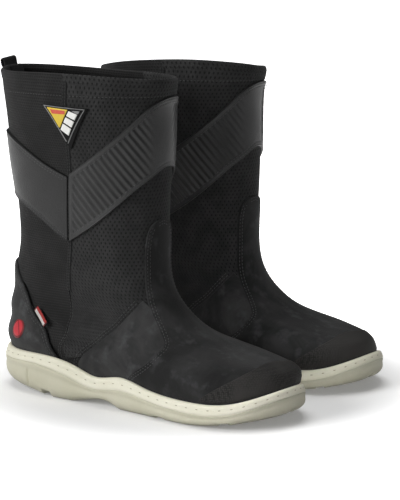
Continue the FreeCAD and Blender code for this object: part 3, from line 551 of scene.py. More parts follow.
# ---- Materials
class Shader:
    """A node material with a few short helpers."""

    def __init__(self, name, roughness=0.7, specular=0.4, sheen=0.0, sheen_rough=0.5):
        self.material = bpy.data.materials.new(name)
        self.material.use_nodes = True
        self.nodes = self.material.node_tree.nodes
        self.links = self.material.node_tree.links
        self.shader = self.nodes["Principled BSDF"]
        self.shader.inputs["Roughness"].default_value = roughness
        self.shader.inputs["Specular IOR Level"].default_value = specular
        self.shader.inputs["Sheen Weight"].default_value = sheen
        self.shader.inputs["Sheen Roughness"].default_value = sheen_rough

    def node(self, kind, **settings):
        item = self.nodes.new(kind)
        for key, value in settings.items():
            setattr(item, key, value)
        return item

    def feed(self, socket, value):
        if isinstance(value, (int, float)):
            socket.default_value = value
        elif isinstance(value, tuple):
            socket.default_value = value if len(value) != 3 else (*value, 1.0)
        else:
            self.links.new(value, socket)

    def math(self, operation, a, b=0.0, c=0.0):
        item = self.node("ShaderNodeMath", operation=operation)
        for socket, value in zip(item.inputs, (a, b, c)):
            self.feed(socket, value)
        return item.outputs[0]

    def mix(self, amount, a, b):
        item = self.node("ShaderNodeMix", data_type="RGBA")
        self.feed(item.inputs[0], amount)
        self.feed(item.inputs[6], a)
        self.feed(item.inputs[7], b)
        return item.outputs[2]

    def ramp(self, value, low, high):
        item = self.node("ShaderNodeMapRange", interpolation_type="SMOOTHSTEP")
        for socket, number in zip(item.inputs, (value, low, high, 0.0, 1.0)):
            self.feed(socket, number)
        return item.outputs[0]

    def noise(self, scale, detail=3.0, rough=0.5, stretch=None, distortion=0.0, space="Object"):
        place = self.node("ShaderNodeTexCoord").outputs[space]
        if stretch:
            mapping = self.node("ShaderNodeMapping")
            mapping.inputs["Scale"].default_value = stretch
            self.links.new(place, mapping.inputs["Vector"])
            place = mapping.outputs[0]
        item = self.node("ShaderNodeTexNoise")
        item.inputs["Scale"].default_value = scale
        item.inputs["Detail"].default_value = detail
        item.inputs["Roughness"].default_value = rough
        item.inputs["Distortion"].default_value = distortion
        self.links.new(place, item.inputs["Vector"])
        return item.outputs[0]

    def cells(self, scale, randomness=1.0):
        item = self.node("ShaderNodeTexVoronoi", feature="F1")
        item.inputs["Scale"].default_value = scale
        item.inputs["Randomness"].default_value = randomness
        self.links.new(self.node("ShaderNodeTexCoord").outputs["Object"], item.inputs["Vector"])
        return item.outputs["Distance"]

    def weave(self):
        """The weave coordinates, u round the boot and v up it, in metres."""
        item = self.node("ShaderNodeSeparateXYZ")
        uv = self.node("ShaderNodeUVMap", uv_map="weave")
        self.links.new(uv.outputs[0], item.inputs[0])
        return item.outputs[0], item.outputs[1]

    def colour(self, value):
        self.feed(self.shader.inputs["Base Color"], value)

    def roughness(self, value):
        self.feed(self.shader.inputs["Roughness"], value)

    def bump(self, height, distance, strength=1.0):
        item = self.node("ShaderNodeBump")
        item.inputs["Strength"].default_value = strength
        item.inputs["Distance"].default_value = distance
        self.feed(item.inputs["Height"], height)
        self.links.new(item.outputs[0], self.shader.inputs["Normal"])

    def add(self, *values):
        total = values[0]
        for value in values[1:]:
            total = self.math("ADD", total, value)
        return total

    def times(self, a, b):
        return self.math("MULTIPLY", a, b)


def grey(level, warm=0.0):
    """A linear grey for an 8-bit display level, a little warm if asked."""
    value = (level / 255.0) ** 2.2
    return (value * (1.0 + warm), value, value * (1.0 - warm))


def rgb(r, g, b):
    """A linear colour for 8-bit display levels."""
    return tuple((c / 255.0) ** 2.2 for c in (r, g, b))


def nubuck(name, tone):
    """Oiled nubuck: cloudy nap, brushed lighter patches and a fine velvet grain."""
    s = Shader(name, 0.85, 0.16, 0.05, 0.6)
    cloud = s.ramp(s.noise(26.0, 4.0, 0.62, distortion=0.6), 0.36, 0.70)
    patch = s.ramp(s.noise(70.0, 3.0, 0.6), 0.50, 0.74)
    nap = s.noise(1500.0, 2.0, 0.6)
    base = s.mix(cloud, grey(tone - 12), grey(tone + 15))
    base = s.mix(s.times(patch, 0.7), base, grey(tone + 30, -0.03))
    base = s.mix(s.times(nap, 0.35), base, grey(tone - 16))
    s.colour(base)
    s.roughness(s.math("MULTIPLY_ADD", cloud, 0.12, 0.74))
    s.bump(s.add(s.times(nap, 0.5), s.times(s.noise(420.0, 3.0), 0.6)), 0.00035, 0.6)
    return s.material


def smooth_leather(name, tone):
    """Smooth finished leather with a small pebble grain and soft wear."""
    s = Shader(name, 0.5, 0.2)
    grain = s.cells(900.0)
    cloud = s.ramp(s.noise(30.0, 3.0), 0.35, 0.7)
    s.colour(s.mix(s.times(grain, 0.5), s.mix(cloud, grey(tone - 5), grey(tone + 6)), grey(tone - 18)))
    s.roughness(s.math("MULTIPLY_ADD", s.noise(60.0, 3.0), 0.22, 0.38))
    s.bump(s.add(grain, s.times(s.noise(1600.0, 2.0), 0.4)), 0.00022, 0.5)
    return s.material


def mesh_cloth(name, tone):
    """Knitted spacer mesh: staggered dark pores between rounded yarns."""
    s = Shader(name, 0.9, 0.15, 0.04, 0.5)
    u, v = s.weave()
    pitch, rise = 0.0038, 0.0031
    row = s.math("FLOOR", s.math("DIVIDE", v, rise))
    shift = s.times(s.math("PINGPONG", row, 1.0), 0.5)
    across = s.add(s.math("DIVIDE", u, pitch), shift)
    du = s.times(s.math("SUBTRACT", s.math("FRACT", across), 0.5), pitch)
    dv = s.times(s.math("SUBTRACT", s.math("FRACT", s.math("DIVIDE", v, rise)), 0.5), rise * 0.8)
    away = s.math("SQRT", s.add(s.times(du, du), s.times(dv, dv)))
    pore = s.math("SUBTRACT", 1.0, s.ramp(away, 0.0004, 0.0011))
    yarn = s.math("SINE", s.times(v, 2.0 * math.pi / 0.0007))
    fuzz = s.noise(900.0, 3.0, 0.65, space="UV")
    slub = s.ramp(s.noise(60.0, 3.0, 0.6), 0.3, 0.75)
    base = s.mix(slub, grey(tone - 6), grey(tone + 8))
    base = s.mix(s.times(fuzz, 0.45), base, grey(tone - 20))
    # The pores are dark partly from the dark inner layer seen through them and partly as painted shade
    # in them
    base = s.mix(s.times(pore, 0.7), base, grey(16))
    s.colour(base)
    s.bump(s.add(s.times(pore, -1.0), s.times(yarn, 0.10), s.times(fuzz, 0.45)), 0.0007, 0.9)
    return s.material


def rib_cloth(name, tone):
    """Fine cross-ribbed weave: horizontal cords broken by short stitches."""
    s = Shader(name, 0.9, 0.15, 0.04, 0.5)
    u, v = s.weave()
    wave = s.noise(25.0, 2.0, space="UV")
    rise, pitch = 0.0021, 0.0026
    cord = s.math("SINE", s.add(s.times(v, 2.0 * math.pi / rise), s.times(wave, 0.7)))
    row = s.math("FLOOR", s.math("DIVIDE", v, rise))
    shift = s.times(s.math("PINGPONG", row, 1.0), math.pi)
    tick = s.math("SINE", s.add(s.times(u, 2.0 * math.pi / pitch), shift))
    fuzz = s.noise(900.0, 3.0, 0.65, space="UV")
    slub = s.ramp(s.noise(45.0, 3.0, 0.6), 0.3, 0.75)
    height = s.add(s.times(cord, 0.28), s.times(tick, 0.26), s.times(fuzz, 0.6))
    base = s.mix(slub, grey(tone - 5, 0.01), grey(tone + 7, 0.01))
    # Painted shade: the weave turns darker where its relief is low
    base = s.mix(s.ramp(height, -0.35, 0.75), grey(tone - 18), base)
    s.colour(base)
    s.bump(height, 0.0003, 0.8)
    return s.material


def cap_rubber(name, tone):
    """Rubberised toe cap: matt brown-black, with a fine raised grain in soft patches."""
    s = Shader(name, 0.72, 0.16)
    dots = s.cells(620.0, randomness=0.35)
    cloud = s.noise(40.0, 3.0)
    where = s.ramp(s.noise(22.0, 2.0), 0.42, 0.62)
    base = s.mix(cloud, grey(tone, 0.06), grey(tone + 8, 0.06))
    # Painted shade between the raised grains: the cap is darker where the grain is low
    s.colour(s.mix(s.times(s.ramp(dots, 0.15, 0.75), where), base, grey(tone - 16, 0.05)))
    s.roughness(s.math("MULTIPLY_ADD", cloud, 0.2, 0.62))
    s.bump(s.times(s.math("SUBTRACT", 1.0, dots), where), 0.0003, 0.7)
    return s.material


def sole_rubber(name, low, high):
    """Moulded sole rubber with faint mottling, scuffs and a matt skin."""
    s = Shader(name, 0.6, 0.35)
    cloud = s.ramp(s.noise(18.0, 4.0, 0.6), 0.3, 0.75)
    scuff = s.ramp(s.noise(90.0, 4.0, 0.7, stretch=(1.0, 1.0, 3.0)), 0.58, 0.80)
    base = s.mix(cloud, low, high)
    s.colour(s.mix(s.times(scuff, 0.25), base, tuple(c * 0.72 for c in low)))
    s.roughness(s.math("MULTIPLY_ADD", cloud, 0.14, 0.52))
    s.bump(s.noise(1100.0, 3.0, 0.6), 0.00012, 0.8)
    return s.material


def thread(name, tone):
    """Twisted sewing thread."""
    s = Shader(name, 0.7, 0.2, 0.04)
    u, v = s.weave()
    twist = s.math("SINE", s.times(s.add(u, v), 2.0 * math.pi / 0.0005))
    # Painted shade in the twist's grooves, which take the darker colour
    s.colour(s.mix(s.ramp(twist, -0.4, 0.8), tuple(c * 0.85 for c in tone), tone))
    s.bump(twist, 0.0001, 0.8)
    return s.material


def plain_weave(name, low, high, pitch=0.0011):
    """Tight woven webbing or label cloth."""
    s = Shader(name, 0.85, 0.15, 0.04)
    u, v = s.weave()
    warp = s.math("SINE", s.times(u, 2.0 * math.pi / pitch))
    weft = s.math("SINE", s.times(v, 2.0 * math.pi / pitch))
    height = s.times(warp, weft)
    fuzz = s.noise(700.0, 3.0, 0.6)
    # Painted shade: the weave's low parts take the darker colour, its raised crossings the lighter one
    s.colour(s.mix(s.ramp(s.add(height, s.times(fuzz, 0.5)), -0.6, 0.9), low, high))
    s.bump(s.add(height, s.times(fuzz, 0.6)), 0.00035, 0.8)
    return s.material


def moulded(name, low, high, roughness=0.45, specular=0.3):
    """Moulded or printed face with a faint fine texture."""
    s = Shader(name, roughness, specular)
    speck = s.noise(500.0, 3.0, 0.6)
    s.colour(s.mix(speck, low, high))
    s.bump(speck, 0.00012, 0.6)
    return s.material


MATERIALS = {
    # The vamp, quarters and counter are one nubuck; the vamp's darker tone is painted shade on the
    # front of the boot
    "vamp": nubuck("nubuck", 33),
    "quarter": nubuck("nubuck_quarter", 46),
    "counter": nubuck("nubuck_counter", 49),
    "band_rear": smooth_leather("smooth_leather", 29),
    "band_front": smooth_leather("ribbed_leather", 56),
    "mesh": mesh_cloth("shaft_mesh", 53),
    "weave": rib_cloth("shaft_weave", 42),
    "lining": rib_cloth("lining_knit", 44),
    "cap": cap_rubber("toe_cap_rubber", 46),
    "welt": sole_rubber("welt_rubber", rgb(216, 213, 192), rgb(228, 225, 208)),
    "outsole": sole_rubber("outsole_rubber", rgb(190, 187, 165), rgb(203, 200, 180)),
    # Darker tan marks on the welt: painted shade of the needle dimples
    "hollow": sole_rubber("stitch_holes", rgb(158, 150, 124), rgb(172, 164, 138)),
    "welt_thread": thread("welt_thread", rgb(232, 229, 210)),
    "thread": thread("black_thread", grey(78)),
    "webbing": plain_weave("webbing", grey(20), grey(48)),
    "tape": plain_weave("seam_tape", grey(26), grey(50), 0.0009),
    "footbed": plain_weave("footbed_cloth", grey(24), grey(50), 0.0014),
    "badge_black": moulded("badge_black", grey(10), grey(18), 0.6, specular=0.08),
    "badge_grey": moulded("badge_outline", grey(120), grey(140), 0.4),
    "badge_yellow": moulded("badge_yellow", rgb(210, 178, 50), rgb(224, 194, 70), 0.4),
    "badge_red": moulded("badge_red", rgb(190, 70, 52), rgb(206, 90, 66), 0.4),
    "badge_white": moulded("badge_white", rgb(236, 236, 232), rgb(246, 246, 242), 0.4),
    "emblem": moulded("emblem_red", rgb(172, 42, 52), rgb(190, 56, 64), 0.42),
    "emblem_line": moulded("emblem_line", rgb(120, 18, 30), rgb(138, 26, 38), 0.42),
    "emblem_dark": moulded("emblem_dark", rgb(96, 20, 26), rgb(116, 30, 34), 0.45),
    "tab_white": plain_weave("tab_white", rgb(214, 208, 204), rgb(238, 234, 230), 0.0008),
    "tab_red": plain_weave("tab_red", rgb(166, 52, 54), rgb(196, 74, 70), 0.0008),
    "foam": moulded("core_foam", rgb(150, 146, 132), rgb(172, 168, 152), 0.8),
    "board": plain_weave("fibre_board", rgb(110, 92, 70), rgb(138, 118, 92)),
    "steel": moulded("shank_steel", grey(120), grey(150), 0.35),
    "stiffener": moulded("stiffener", grey(60), grey(78), 0.7),
}
MATERIALS["steel"].node_tree.nodes["Principled BSDF"].inputs["Metallic"].default_value = 1.0

# ---- Edge paths of the upper, as (angle, level); the medial side mirrors the lateral side
SIDE_SEAM = [(117.0, FOOT), (116.0, 0.0), (111.0, 0.145), (93.0, 0.35), (84.0, 0.5), (81.0, 0.59),
             (78.0, 0.68), (77.0, 0.775), (77.0, 0.865), (76.0, 0.985)]
VAMP_EDGE = [(86.0, FOOT), (85.0, 0.005), (78.0, 0.06), (70.0, 0.13), (54.0, 0.22), (38.0, 0.30),
             (30.0, 0.355), (24.0, 0.41), (21.0, 0.46), (20.5, 0.50), (19.0, 0.535), (15.5, 0.558),
             (10.0, 0.568)]
QUARTER_EDGE = [(109.0, FOOT), (107.0, 0.01), (100.0, 0.09), (85.0, 0.205), (59.0, 0.31),
                (32.0, 0.375)]
COUNTER_EDGE = [(118.0, FOOT), (117.5, 0.0), (120.0, 0.065), (125.0, 0.145), (130.5, 0.235),
                (136.5, 0.315), (146.0, 0.37)]
BAND_FRONT_HIGH = [(77.7, 0.686), (61.0, 0.730), (50.0, 0.761), (36.0, 0.802), (23.0, 0.844),
                   (11.0, 0.882), (0.0, 0.902)]
BAND_FRONT_LOW = [(83.8, 0.503), (62.0, 0.56), (42.0, 0.616), (20.0, 0.669), (11.0, 0.685),
                  (0.0, 0.702)]
# The worn shafts turn a little: on one side the band keeps its height past the front centre
CREST_HIGH = [(77.7, 0.686), (62.0, 0.75), (50.0, 0.81), (38.0, 0.862), (26.0, 0.897), (14.0, 0.905),
              (0.0, 0.902)]
CREST_LOW = [(83.8, 0.503), (66.0, 0.565), (50.0, 0.62), (38.0, 0.658), (26.0, 0.685), (14.0, 0.70),
             (0.0, 0.702)]
BAND_REAR_HIGH = [(78.5, 0.679), (87.0, 0.692), (99.0, 0.713), (113.0, 0.742), (135.0, 0.772),
                  (160.0, 0.778), (180.0, 0.78)]
BAND_REAR_LOW = [(84.6, 0.503), (94.0, 0.52), (104.0, 0.545), (117.0, 0.57), (132.0, 0.59),
                 (155.0, 0.605), (180.0, 0.61)]


def moved(points, angle):
    """The same path turned round the boot by an angle."""
    return [(a + angle, v) for a, v in points]


def medial(points):
    """The path's mirror image on the boot's inner side."""
    return [(-a, v) for a, v in points]


def round_back(points):
    """The same mirror image, with its angles counted on past the back."""
    return [(360.0 - a, v) for a, v in points]


def across_front(points):
    """A path from the lateral side to the front centre, carried on to the medial side."""
    return path(list(points) + medial(points[:-1])[::-1])


def across_back(points):
    """A path from the lateral side to the back centre, carried on to the medial side."""
    return path(list(points) + round_back(points[:-1])[::-1])


def between(first, second):
    """The four edges of a strip between two paths that run side by side."""
    return (first, second, path([first(0.0)[:2], second(0.0)[:2]]),
            path([first(1.0)[:2], second(1.0)[:2]]))


# The double stitch rows: how far each lies from its edge, and how deep the beads sink
SEAM_INSETS = (2.0, 4.4)
SEWN = 0.1


def seam_relief(edge):
    """Two shallow stitch channels and the swell between them along a sheet's edge."""
    first, second = SEAM_INSETS
    groove = hump(edge, first, 0.55) + hump(edge, second, 0.55)
    return -0.28 * groove + 0.12 * hump(edge, (first + second) / 2.0, 0.8)


def band_relief(edge):
    """The band's seam, with a fine raised bead along its very edge."""
    return seam_relief(edge) + 0.4 * hump(edge, 0.9, 0.45)


def leather_relief(angle, level, edge):
    """Seam channels, and soft dents away from the edges."""
    soft = smooth(3.0, 14.0, edge)
    a = np.radians(angle)
    dents = (np.sin(6.0 * a + 31.0 * level) * np.sin(11.0 * a - 19.0 * level)
             + 0.6 * np.sin(17.0 * a + 9.0 * level) * np.sin(47.0 * level + 3.0 * a))
    return seam_relief(edge) + 0.13 * soft * dents


def dress(boot, node):
    """Hide one of its boot's CAD nodes, which a piece stands in for."""
    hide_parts(boot.name + "_" + node)


def panel(boot, tag, node, slot_name, patch, depths, material, **shape):
    """A sheet between two depths in place of a CAD node."""
    obj = lay_sheet(boot.name + "_" + tag, boot, patch, *depths, MATERIALS[material], **shape)
    dress(boot, node)


def sew(boot, tag, rows, length=2.0, width=0.5):
    """Stitch rows in black thread."""
    obj = stitches(boot.name + "_" + tag, boot, rows, length, width, MATERIALS["thread"])


def loft(rings):
    """Points and faces of a closed body through rings of equal count."""
    points = np.stack(rings, 1)
    count, cols = points.shape[:2]
    faces = [grid_faces(count, cols, 0, True, False), lid(count, cols, cols - 1),
             lid(count, cols, 0)[:, ::-1]]
    return points.reshape(-1, 3), np.concatenate(faces)


# ---- The sole unit
# Where the drain slots and the heel's slits lie, in degrees round the sole, and a degree's length
SLOTS = (122.0, 69.0, 38.5, -1.0, -34.0, -69.0, -122.0)
SLITS = (132.5, -132.5)
TREAD_PER_DEGREE = 1.75
# How deep a slit and a slot cut in, and how far a slot lifts the tread's edge
SLIT_DEPTH, SLOT_DEPTH, SLOT_LIFT = 1.9, 2.4, 2.2
# The outsole's edge: share of its height, and flare out of the feather edge
OUTSOLE_EDGE = [(1.0, 4.6), (1.0, 6.85), (0.97, 7.05), (0.92, 7.1), (0.86, 7.0), (0.79, 6.72),
                (0.73, 6.62), (0.66, 6.75), (0.57, 6.95), (0.45, 6.95), (0.34, 6.7), (0.26, 6.35),
                (0.19, 5.8), (0.135, 5.1), (0.085, 4.3), (0.045, 3.5), (0.015, 2.5), (0.0, 1.4),
                (0.0, -1.0), (0.0, -5.0)]
# The wall's face from its lip to its foot: share of the fall, and flare in millimetres
WALL = [(0.90, 2.0), (0.5, 2.0), (0.12, 1.8), (0.03, 1.7), (-0.01, 2.0), (-0.02, 2.8), (0.0, 3.7),
        (0.06, 4.6), (0.15, 5.25), (0.26, 5.7), (0.36, 5.95), (0.46, 6.12), (0.56, 6.42), (0.66, 6.72),
        (0.78, 7.0), (0.88, 7.1), (0.95, 7.08), (0.99, 6.98), (1.0, 6.8), (1.0, 4.0)]
# How the welt's lip rises with its own flare fore and aft, and the wall's gap over the outsole
LIP_SLOPE, WELT_GAP = 0.25, 0.15
# The welt's stitches: their pitch, and how far down the wall they run
WELT_PITCH = 10.0
CHANNEL_FALL = 0.465
# The footbed's rim: flare out of its own outline, and rise over its underside; then how far its
# outline lies inside the feather edge, and its underside and middle over the welt's foot
FOOTBED_EDGE = [(0.0, 0.1), (-0.2, 2.0), (-0.9, 3.7), (-2.0, 4.0), (-6.0, 3.6), (-12.0, 3.2)]
FOOTBED_INSET = 6.8
FOOTBED_SOLE, FOOTBED_TOP = 5.05, 8.2


def arc_gap(angle, centre):
    """Distance round the sole from a place, in millimetres."""
    gap = (np.asarray(angle, float) - centre + 180.0) % 360.0 - 180.0
    return np.abs(gap) * TREAD_PER_DEGREE


def tread_grooves(x):
    """Depth of the fine sipes across the heel and forefoot."""
    sipe = hump(np.mod(x, 7.0), 3.5, 0.55)
    heel = smooth(26.0, 34.0, x) - smooth(94.0, 100.0, x)
    forefoot = smooth(152.0, 158.0, x) - smooth(262.0, 270.0, x)
    return 1.1 * sipe * (heel + forefoot)


def make_outsole(boot):
    """Flared rubber outsole with a rounded tread edge, drain slots and a split line at the heel."""
    count = 900
    angle = ring_angles(count)
    slot = np.max([1.0 - smooth(3.0, 4.4, arc_gap(angle, place)) for place in SLOTS], axis=0)
    slit = sum(hump(arc_gap(angle, place), 0.0, 0.95) for place in SLITS)
    rings = []
    for rise, flare in OUTSOLE_EDGE:
        cut = slit * smooth(0.10, 0.2, rise) * (1.0 - smooth(0.66, 0.76, rise))
        notch = slot * (1.0 - smooth(0.13, 0.2, rise))
        plan = outline(flare - SLIT_DEPTH * cut - SLOT_DEPTH * notch, angle)
        low = tread(plan[:, 0])
        top = welt_foot(plan[:, 0])
        lift = SLOT_LIFT * notch * (1.0 - smooth(0.0, 0.3, rise))
        z = low + (top - low) * rise + lift
        rings.append(np.column_stack([plan, z]))
    inner = outline(np.full(count, OUTSOLE_EDGE[-1][1]), angle)
    for share in (0.97, 0.85, 0.6, 0.35, 0.12):
        plan = inner * [1.0, share]
        rings.append(np.column_stack([plan, tread(plan[:, 0]) + tread_grooves(plan[:, 0])]))
    points, faces = loft(rings)
    obj = make_object(boot.name + "_sole_rubber", boot, points, faces, points[:, :2],
                      MATERIALS["outsole"])
    dress(boot, "outsole")


def wall_ring(angle, flare, fall):
    """Ring on the welt wall: flare out of the feather edge, and share of the fall to its foot."""
    plan = outline(np.full(len(angle), flare), angle)
    feather = outline(np.zeros(len(angle)), angle)[:, 0]
    top = welt_top(feather) + LIP_SLOPE * (plan[:, 0] - feather)
    low = welt_foot(plan[:, 0]) + WELT_GAP
    return np.column_stack([plan, top + (low - top) * fall])


def make_welt(boot):
    """Cream welt wall with a rolled lip, a soft stitch channel and a fuller lower half."""
    count = 640
    points = np.stack([wall_ring(ring_angles(count), flare, fall) for fall, flare in WALL], 1)
    faces = grid_faces(count, len(WALL), 0, True, True)[:, ::-1]
    flat = points.reshape(-1, 3)
    obj = make_object(boot.name + "_welt", boot, flat, faces, flat[:, [0, 2]], MATERIALS["welt"])
    dress(boot, "midsole_wall")


def channel_places(flare, offset):
    """Even places along the stitch channel: centre, run and outward normal."""
    angle = ring_angles(2000)
    points = wall_ring(angle, flare, CHANNEL_FALL)
    out = outline(np.full(len(angle), flare + 1.0), angle) - points[:, :2]
    normal = np.column_stack([out, np.zeros(len(angle))])
    run = unit(np.roll(points, -1, 0) - np.roll(points, 1, 0))
    length = run_length(points)
    count = int(length[-1] / WELT_PITCH)
    at = (np.arange(count) + offset) * length[-1] / count
    return [resample(at, length, values) for values in (points, run, normal)]


def make_welt_stitching(boot):
    """Sunken cream stitches in the channel, with a darker tan mark between each two as painted shade of
    a needle dimple.
    """
    obj = stitches(boot.name + "_welt_stitches", boot, [channel_places(5.95, 0.25)], 7.0, 0.8,
                   MATERIALS["welt_thread"], sink=0.3)
    dress(boot, "welt_stitching")
    holes = stitches(boot.name + "_stitch_holes", boot, [channel_places(5.9, 0.75)], 2.5, 1.0,
                     MATERIALS["hollow"], sink=0.1)


def make_footbed(boot):
    """Cupped foam footbed faced with cloth."""
    count = 260
    angle = ring_angles(count)
    rings = []
    for flare, rise in FOOTBED_EDGE:
        plan = outline(np.full(count, flare - FOOTBED_INSET), angle)
        rings.append(np.column_stack([plan, welt_foot(plan[:, 0]) + FOOTBED_SOLE + rise]))
    inner = outline(np.full(count, FOOTBED_EDGE[-1][0] - FOOTBED_INSET), angle)
    for share in (0.7, 0.4, 0.1):
        plan = inner * [1.0, share]
        rings.append(np.column_stack([plan, welt_foot(plan[:, 0]) + FOOTBED_TOP]))
    points, faces = loft(rings)
    obj = make_object(boot.name + "_footbed_foam", boot, points, faces[:, ::-1], points[:, :2],
                      MATERIALS["footbed"], boot.name + "_footbed_body")
    dress(boot, "footbed")


# ---- The shaft
RIM_LEVEL = 0.985


def make_shaft(boot):
    """Front mesh panel and rear rib panel, joined under the side seams."""
    seam_gap = 0.2
    shape = {"step": 2.6, "roll": 0.8}
    side = moved([(113.5, 0.006)] + SIDE_SEAM[2:], -seam_gap)
    low = [side[0], (103.0, 0.05), (85.0, 0.155), (59.0, 0.265), (33.0, 0.335), (0.0, 0.37)]
    rim = [side[-1], (50.0, RIM_LEVEL), (0.0, RIM_LEVEL)]
    patch = (across_front(low), across_front(rim), path(side), path(medial(side)))
    panel(boot, "mesh_panel", "shaft_front_panel", "shaft_mesh", patch, CLOTH, "mesh", **shape)
    side = moved(SIDE_SEAM[2:], seam_gap)
    low = [side[0], (124.0, 0.23), (134.0, 0.31), (150.0, 0.34), (180.0, 0.345)]
    rim = [side[-1], (125.0, RIM_LEVEL), (180.0, RIM_LEVEL)]
    patch = (across_back(low), across_back(rim), path(side), path(round_back(side)))
    panel(boot, "weave_panel", "shaft_rear_panel", "shaft_weave", patch, CLOTH, "weave", **shape)


def make_lining(boot):
    """Knitted sleeve inside the boot."""
    inner, outer = LINING
    levels = np.linspace(FOOT, 0.975, 90)
    section = [(v, outer) for v in levels] + [(v, inner) for v in levels[::-1]]
    obj = lay_tube(boot.name + "_lining_sleeve", boot, section, MATERIALS["lining"], 200)
    dress(boot, "lining")


def make_hem(boot):
    """The rim folded over the lining, with its hem stitches further down the shaft."""
    low, high, seam = 0.958, 0.975, 76
    turn = np.linspace(0.0, math.pi, 9)
    section = [(low, -1.4), (low, -0.45), (low + 0.004, -0.3), (low + 0.012, -0.25), (high, -0.2)]
    section += [(0.988 + 0.010 * math.sin(a), -2.15 + 1.95 * math.cos(a)) for a in turn]
    section += [(high, -4.3), (low, -4.3), (low, -3.4)]
    obj = lay_tube(boot.name + "_collar_fold", boot, section, MATERIALS["mesh"], 360)
    obj.data.materials.append(MATERIALS["weave"])
    angle = np.arange(len(obj.data.polygons)) // len(section)
    rear = (angle > seam) & (angle < 360 - seam)
    obj.data.polygons.foreach_set("material_index", rear.astype(np.int32))
    dress(boot, "collar_hem")
    ring = path([(a, 0.912) for a in range(0, 361, 12)])
    sew(boot, "hem_stitches", [stitch_row(ring, boot, 0.0, -0.5, pitch=3.2)])


def tape_relief(angle, level, edge):
    """The tape's sunken middle between its two edges."""
    return -0.3 * smooth(1.0, 1.6, edge)


def make_seams(boot):
    """Narrow side-seam tapes, each with a stitch row either side of its middle."""
    half = 1.7
    seam = SIDE_SEAM[3:-1] + [(76.2, 0.965)]
    for side, mirror in (("lateral", list), ("medial", medial)):
        edges = [path(mirror(moved(seam, shift))) for shift in (half, -half)]
        panel(boot, side + "_seam", side + "_seam_tape", "webbing", between(*edges), (-0.55, 0.1),
              "tape", step=1.0, roll=0.7, relief=tape_relief)
        line = path(mirror(seam))
        rows = [stitch_row(line, boot, off, 0.12, pitch=2.8) for off in (-0.9, 0.9)]
        foot = path(mirror(SIDE_SEAM[1:5]))
        rows += [stitch_row(foot, boot, off, -0.45, pitch=2.8) for off in (-1.0, 1.0)]
        sew(boot, side + "_seam_stitches", rows, 1.9, 0.4)


# The embossed ribs: how far apart they lie, and how far they lean off the band's length
RIB_PITCH = 5.1
RIB_LEAN = math.radians(40.0)


def rib_height(angle, level, edge):
    """Embossed ribs square to the band, fading out at the front centre and at the edges."""
    along = np.abs(gauge(GAUGE_AROUND, angle, level))
    rise = gauge(GAUGE_UP, angle, level)
    phase = (-along * math.cos(RIB_LEAN) + rise * math.sin(RIB_LEAN)) / RIB_PITCH
    wave = np.abs((phase % 1.0) * 2.0 - 1.0)
    rib = smooth(0.0, 1.0, wave) - 1.0
    fade = smooth(8.0, 26.0, np.abs(angle)) * smooth(4.9, 6.4, edge)
    return 1.4 * rib * fade + band_relief(edge)


def plain_band(angle, level, edge):
    """The rear band's relief: its seam only."""
    return band_relief(edge)


def make_bands(boot):
    """Chevron band: ribbed leather in front, smooth leather behind, meeting at the side seams."""
    high = [BAND_FRONT_HIGH, CREST_HIGH]
    low = [BAND_FRONT_LOW, CREST_LOW]
    if boot.name == "left":
        high.reverse()
        low.reverse()
    high, low = (path(near[:-1] + medial(far)[::-1]) for near, far in (high, low))
    panel(boot, "ribbed_band", "band_front", "ribbed_leather", between(low, high), (-0.1, 1.6),
          "band_front", step=0.7, relief=rib_height)
    back_high, back_low = across_back(BAND_REAR_HIGH), across_back(BAND_REAR_LOW)
    panel(boot, "smooth_band", "band_rear", "smooth_leather", between(back_low, back_high),
          (-0.1, 1.4), "band_rear", step=1.6, relief=plain_band)
    rows = [stitch_row(curve, boot, inset, 1.3, turn=turn)
            for curve, turn in ((high, -1.0), (low, 1.0), (back_high, 1.0), (back_low, -1.0))
            for inset in SEAM_INSETS]
    sew(boot, "band_stitches", rows)


# ---- The leather lower
def double_rows(boot, curves, depth):
    """Double stitch rows along curves, each given with its turn, start and end."""
    return [stitch_row(curve, boot, inset, depth, turn=turn, start=start, end=end)
            for inset in SEAM_INSETS for curve, turn, start, end in curves]


def make_vamp(boot):
    """Nubuck vamp with its tongue, rolled edges and a double stitch row."""
    foot = [VAMP_EDGE[0], (45.0, FOOT), (0.0, FOOT)]
    head = [VAMP_EDGE[-1], (0.0, 0.576)]
    near, far = path(VAMP_EDGE), path(medial(VAMP_EDGE))
    panel(boot, "nubuck_vamp", "vamp", "nubuck", (across_front(foot), across_front(head), near, far),
          LEATHER, "vamp", step=1.8, relief=leather_relief)
    curves = [(near, -1.0, 0.06, 0.99), (far, 1.0, 0.06, 0.99), (across_front(head), -1.0, 0.06, 0.94)]
    sew(boot, "vamp_stitches", double_rows(boot, curves, LEATHER[1] - SEWN))


def make_quarters(boot):
    """Nubuck quarters, thinner than the vamp and tucked behind its edge."""
    outer = LEATHER[1] - 0.35
    edge = moved(VAMP_EDGE[:7], -2.0)
    edge = [(edge[0][0], FOOT)] + edge[1:] + [(28.0, 0.358)]
    for side, mirror, turn in (("lateral", list, 1.0), ("medial", medial, -1.0)):
        front, back = path(mirror(edge)), path(mirror(QUARTER_EDGE))
        panel(boot, side + "_nubuck", side + "_quarter", "nubuck", between(front, back),
              (LEATHER[0], outer), "quarter", step=1.8, relief=leather_relief)
        rows = double_rows(boot, [(back, turn, 0.1, 0.97)], outer - SEWN)
        sew(boot, side + "_quarter_stitches", rows)


